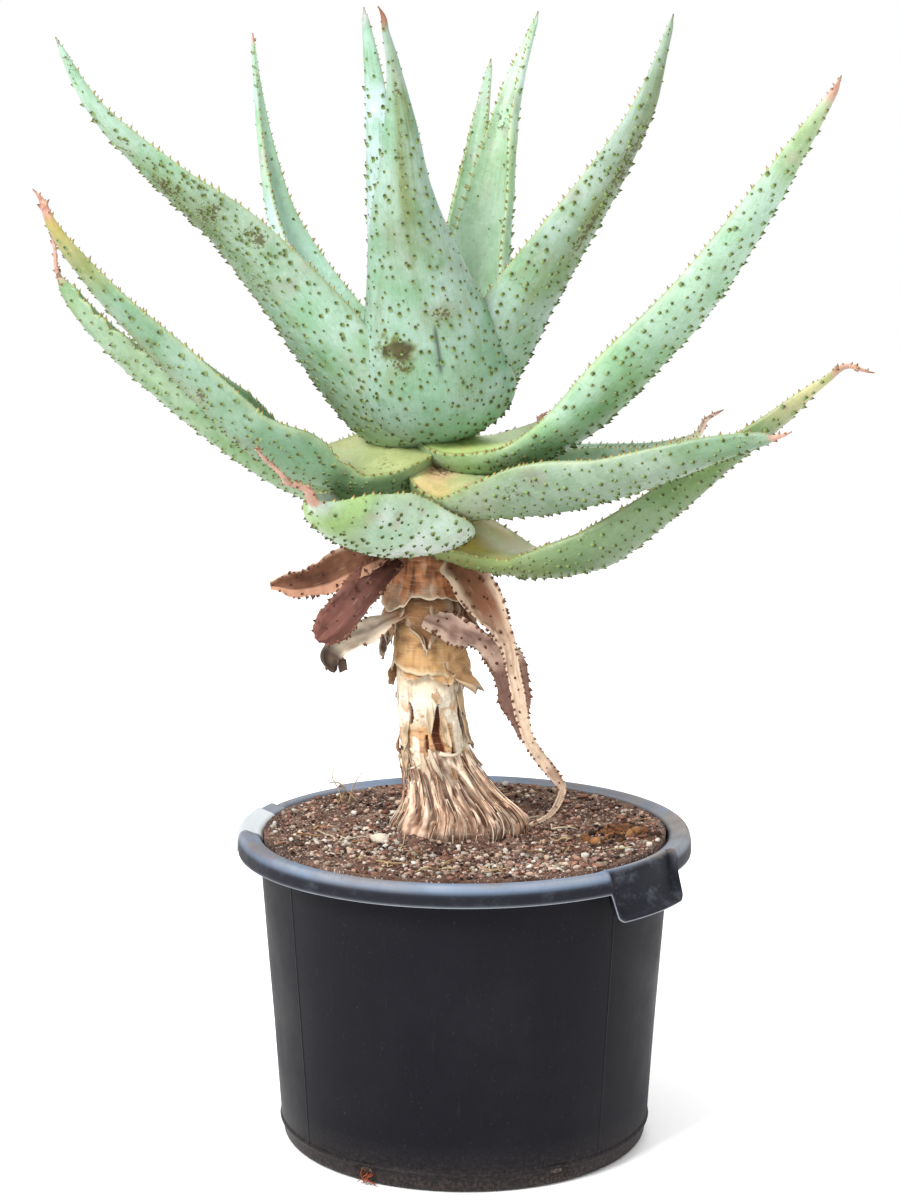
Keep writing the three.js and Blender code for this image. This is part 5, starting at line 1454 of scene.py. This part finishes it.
def leafTint(leaf, f, v, face, points, seed):
    # the skin's colour and how scarred it is, for each point
    tones = leafTones
    t = f["t"][:, None] + 0 * v
    outside = face < 0
    inside = (face > 0).astype(float) * (1 - np.abs(v) ** 8)
    big, mid = fractal(points, 70, seed, 3), fractal(points, 22, seed + 5, 3)
    lengthwise = fractal(np.stack([v * 4 + 0 * t, t * 3, 0 * t + seed], -1), 0.6, seed + 9, 3)
    tint = layered(
        tones["bloom"],
        (tones["green"], ramp(-0.3, 0.4, big + 0.4 * mid)),
        (tones["deep"], 0.8 * ramp(0.05, 0.55, mid) * ramp(-0.1, 0.5, lengthwise)),
        (tones["fresh"], leaf["green"] * ramp(-0.3, 0.4, big - 0.3 * mid)),
        (tones["inside"], 0.75 * inside),
        (tones["olive"], leaf["olive"] * ramp(0.0, 0.5, lengthwise) * ramp(0.1, 0.45, t)
         * ramp(-0.35, 0.35, big)),
        (tones["mauve"], 0.5 * ramp(0.3, 0.6, fractal(points, 30, seed + 23, 3))),
    ) * np.array(leaf["tone"])
    start, yellow = leaf["dry"], leaf["yellow"]
    base = layered(tones["yellow"], (tones["base"], ramp(-0.5, 0.5, mid + 2 * leaf["baseTan"] - 1)))
    edge = layered(tones["rim"], (tones["seam"], ramp(0.4, 0.1, t) * yellow))
    fading, dead = (paint(*c) for c in leaf["tipColors"])
    gone = ramp(start - 0.012, start + 0.006, t + 0.006 * mid)
    fine = noise(points, 5, seed + 40)
    tint = layered(
        tint,
        (base, ramp(0.36, 0.06, t) * yellow * np.where(face > 0, 1.0, 0.3)),
        (edge, 0.45 * ramp(0.9, 1.0, np.abs(v))),
        (fading, ramp(start - 0.2, start - 0.03, t + 0.03 * mid + 0.02 * big) * leaf["tipYellow"] * 0.85),
        (tones["fresh"], bell((t - start + 0.08) / 0.06) * leaf["tipGreen"]),
        (dead, gone),
        (tones["tipRed"], 0.7 * gone * ramp(0.1, 0.5, fine)),
        (tones["brown"], 0.85 * ramp(0.985, 0.998, t)),
    )
    mark = 0.45 * ramp(0.1, 0.6, fractal(points, 36, seed + 17, 2)) + 0.22 * gone
    for row in leaf.get("shades", []):
        uneven = spotAt(t, v, row) * outside * (1 + 0.8 * lengthwise + 0.5 * mid)
        tint = layered(tint, (tones["shade"], np.clip(uneven, 0, 0.85)))
    for row in leaf.get("stains", []):
        spot = spotAt(t, v, row) * outside
        mark = np.maximum(mark, spot)
        tint = layered(tint, (tones["olive"], 0.5 * spot))
    for row in leaf.get("innerStains", []):
        spot = spotAt(t, v, row) * (face > 0)
        mark = np.maximum(mark, 0.9 * spot)
        tint = layered(tint, (tones["tan"], np.clip(1.3 * spot, 0, 0.9)))
    if "crease" in leaf:
        # painted shade along the crease's groove
        tint = layered(tint, (tones["crease"], 0.85 * creaseAt(leaf, t, v, face, 0.026)))
    for row in leaf.get("scars", []):
        spot = spotAt(t, v, row) * outside * (0.75 + 1.0 * fine + 0.5 * noise(points, 2.6, seed + 43))
        tint = layered(tint, (tones["scratch"], 0.85 * ramp(0.16, 0.4, spot)),
                       (tones["scratchDark"], 0.9 * ramp(0.45, 0.7, spot)))
    # lift: painted light on the channel near the root, where it lies in shade, and a shift of its colour
    return tint * layered(1.0, (np.array(leaf["lift"]), inside * ramp(0.34, 0.16, t))), mark


def dryTint(leaf, f, v, face, spread, seed):
    # the dried tissue's colour: face, channel darkened as painted shade, blots and lines, pale margin, then
    # fold, root and end
    t = f["t"][:, None]
    dark = leaf["dark"]
    spots = fractal(spread, 15, seed + 4, 3)
    lines = fractal(spread * [1, 0.22, 1], 5, seed + 8, 3)
    hollow = listed(leaf.get("hollow", [[0, leaf["middle"]], [1, leaf["middle"] * 0.4]]), t)
    coats = [
        # painted shade in the channel of the inner face
        (dark, hollow * (face > 0) * ramp(0.85, 0.35, np.abs(v))),
        (dark, leaf["blots"] * ramp(0.05, 0.55, spots)),
        (dark, leaf["blots"] * 0.7 * ramp(0.1, 0.6, lines)),
        (paint(*leaf["margin"]), 0.85 * ramp(0.72, 0.95, np.abs(v))),
    ]
    if "fold" in leaf:
        side, start, shade = leaf["fold"]
        # one side recoloured: on the mauve leaf this is painted shade
        coats.append((paint(*shade), 0.9 * ramp(start, start + 0.12, side * v)))
    if "rootDark" in leaf:
        coats.append((paint(*leaf["rootColor"]), 0.85 * ramp(leaf["rootDark"], 0.08, t)))
    if "end" in leaf:
        coats.append((dark, 0.9 * ramp(leaf["end"], leaf["end"] + 0.12, t)))
    return layered(np.where((face > 0)[..., None], leaf["inner"], leaf["color"]), *coats)


def makeLeaf(leaf, seed, material, dried):
    leaf = {**(dryKind if dried else leafKind), **leaf}
    rng = np.random.default_rng(1000 + seed)
    t = np.linspace(0, 1, leaf["rows"])
    f = leafFrame(leaf, t)
    t, width = t[:, None], f["width"][:, None]
    turn = np.linspace(0, 2 * np.pi, leaf["around"], endpoint=False)[None]
    v = np.cos(turn) + 0 * t
    face = np.where(np.sin(turn) >= 0, 1, -1) + 0 * t
    grid, outDir = leafSurface(leaf, f, v, face)
    if dried:
        # both faces crumple together, so that the tissue stays thin
        spread = np.stack([v * width / 2, t * f["length"] + 0 * v, 0 * v], -1)
        crumple = 2.6 * fractal(spread, 19, seed, 3) + 0.9 * noise(spread, 6, seed + 2)
        pleats = 0.8 * np.sin(v * 7 + 2.5 * noise(spread, 30, seed + 6))
        grid = grid + outDir * ((crumple + pleats) * np.minimum(1, width / 22))[..., None]
        tint, mark, hard = dryTint(leaf, f, v, face, spread, seed), 0.0, leaf["hard"]
    else:
        # low bumps, calmer towards the margins and the slim tip
        away = outDir * face[..., None]
        calm = np.minimum(1, width / 30) * (1 - 0.7 * np.abs(v) ** 6)
        relief = 0.9 * fractal(grid, 34, seed, 2) + 0.4 * noise(grid, 10, seed + 3)
        grid = grid + away * (relief * calm)[..., None]
        if "crease" in leaf:
            grid = grid - away * (1.4 * creaseAt(leaf, t, v, face, 0.035))[..., None]
        tint, mark = leafTint(leaf, f, v, face, grid, seed)
        mark, hard = withEnds(mark), 0.0
    flow = np.stack([t * f["length"] / 150 + 0 * v, v * width / 150 + (face > 0) * 3.0], -1)
    made = Bunch()
    made.add(*skinned(grid), withEnds(tint), hard, withEnds(flow), mark)
    # spacing in shares of the leaf's own, face, along the margins or not, kind, lean, size, bare share
    bare = leaf["bare"]
    if dried:
        rows = [(1, -1, False, dryHorn, 0.3, leaf["horn"], 0.02),
                (1.5, 1, False, dryHorn, 0.3, leaf["horn"], 0.02), (0.7, -1, True, dryHorn, 0.4, 1.1, 0.02)]
    else:
        rows = [(1, -1, False, wart, 0.8, 1.0, bare), (3.0, 1, False, wart, 0.55, 0.85, 0.3),
                (0.8, -1, True, tooth, 0.5, 1.0, bare)]
    for apart, side, margin, kind, lean, size, start in rows:
        places = pricklePlaces(leaf, rng, leaf["spacing"] * apart, side, margin)
        addPrickles(made, leaf, places, kind, rng, lean, size, start)
    for at, side, reach, wide, count in leaf.get("crowd", []):
        spread = rng.normal(0, 1, (count, 2)) * [reach, wide] + [at, side]
        places = np.column_stack([spread[:, 0], np.clip(spread[:, 1], -0.9, 0.9), np.full(count, -1.0)])
        addPrickles(made, leaf, places, wart, rng, 0.8, 0.8)
    ending, slot = ("_husk", "dry_leaf") if dried else ("_live", "leaf")
    made.piece(leaf["name"] + ending, material, [leaf["name"]], slot)


# Loose things on the soil and at the drain hole: straws, dead twigs by the rim and fine roots.

litter = {
    # straws: how many lie in front, how many in all; their length and thickness
    "front": 26, "straws": 46, "long": [9, 34], "thick": [0.5, 0.95],
    "tones": [paint(232, 208, 160), paint(208, 176, 124), paint(176, 134, 92), paint(240, 224, 190)],
    "twigs": [[[-118, 104, 288], [-122, 108, 300], [-128, 110, 312], [-126, 110, 322]],
              [[-112, 100, 288], [-108, 106, 302], [-101, 108, 314], [-96, 112, 318]],
              [[-122, 98, 288], [-116, 92, 300], [-120, 90, 310], [-130, 88, 312]],
              [[-104, 108, 288], [-112, 112, 296], [-122, 112, 306], [-132, 116, 304]],
              [[12, 92, 286], [20, 96, 298], [30, 96, 303], [42, 98, 300]],
              [[28, 96, 286], [34, 92, 296], [48, 92, 300], [60, 96, 296]]],
    "twigThick": 0.85, "twigColor": paint(206, 178, 136),
    "roots": 9, "rootsAt": 239, "rootTones": [paint(150, 70, 46), paint(188, 104, 72), paint(96, 50, 38)],
}


def strand(made, points, radius, tint, sides=5, fine=22):
    # a tapering round string along the curve through the points
    t = np.linspace(0, 1, fine)
    place, _ = curvePoints(points, t)
    angle = np.linspace(0, 2 * np.pi, sides, endpoint=False)
    ring = circles(unit(np.gradient(place, axis=0)), np.array([0.31, 0.42, 0.85]), angle)
    grid = place[:, None] + radius * (1 - 0.6 * t)[:, None, None] * ring
    made.add(*skinned(grid), tint, 0.9)


def makeLitter():
    rng = np.random.default_rng(41)
    made = Bunch()
    tones = litter["tones"]
    for k in range(litter["straws"]):
        if k < litter["front"]:
            a, r = rng.uniform(math.radians(165), math.radians(285)), rng.uniform(70, 160)
        else:
            a, r = rng.uniform(0, 2 * np.pi), rng.uniform(75, 172)
        x, y, turn = r * math.cos(a), r * math.sin(a), rng.uniform(0, 2 * np.pi)
        long = rng.uniform(*litter["long"])
        path = []
        for s in np.linspace(-0.5, 0.5, 4):
            px = x + s * long * math.cos(turn) + rng.uniform(-2, 2)
            py = y + s * long * math.sin(turn) + rng.uniform(-2, 2)
            path.append([px, py, float(soilHeight(np.array(px), np.array(py))) + rng.uniform(1.0, 4.0)])
        strand(made, path, rng.uniform(*litter["thick"]), tones[k % len(tones)])
    for path in litter["twigs"]:
        strand(made, path, litter["twigThick"], litter["twigColor"])
    made.piece("straws", dryMaterial("straw", paint(150, 110, 70), paint(246, 230, 196), 20), [], "soil")
    # roots: each leaves the drain hole, spreads and hangs down; distance from the middle, turn and z
    made = Bunch()
    tones = litter["rootTones"]
    for k in range(litter["roots"]):
        start = math.radians(litter["rootsAt"] + rng.uniform(-3.4, 3.4))
        low = rng.uniform(8, 14)
        path = [(166, 0, low), (170.5, rng.uniform(-0.01, 0.01), low - 1),
                (174, rng.uniform(-0.03, 0.03), low - 4),
                (175.5, rng.uniform(-0.07, 0.07), rng.uniform(1.2, 4))]
        path = [[r * math.cos(start + turn), r * math.sin(start + turn), z] for r, turn, z in path]
        strand(made, path, rng.uniform(0.5, 1.0), tones[k % len(tones)])
    material = dryMaterial("fine_root", paint(84, 44, 32), paint(206, 150, 116), 20)
    made.piece("drain_roots", material, [], "soil")


makeCamera()
makeStudio()
print("camera and studio")
makePot()
makeLabel()
makeSoil()
print("container, label and soil")
makeStem()
for sleeve in sleeves:
    makeSleeve(sleeve)
makeFlakes()
print("stem and sleeves")
skin = leafMaterial()
for number, leaf in enumerate(leaves):
    makeLeaf(leaf, 10 + number, skin, dried=False)
print("green leaves")
husk = dryMaterial("dry_leaf_tissue", paint(122, 80, 58), paint(250, 222, 194), 26)
for number, leaf in enumerate(dryLeaves):
    makeLeaf(leaf, 60 + number, husk, dried=True)
makeLitter()
print("dry leaves and litter")
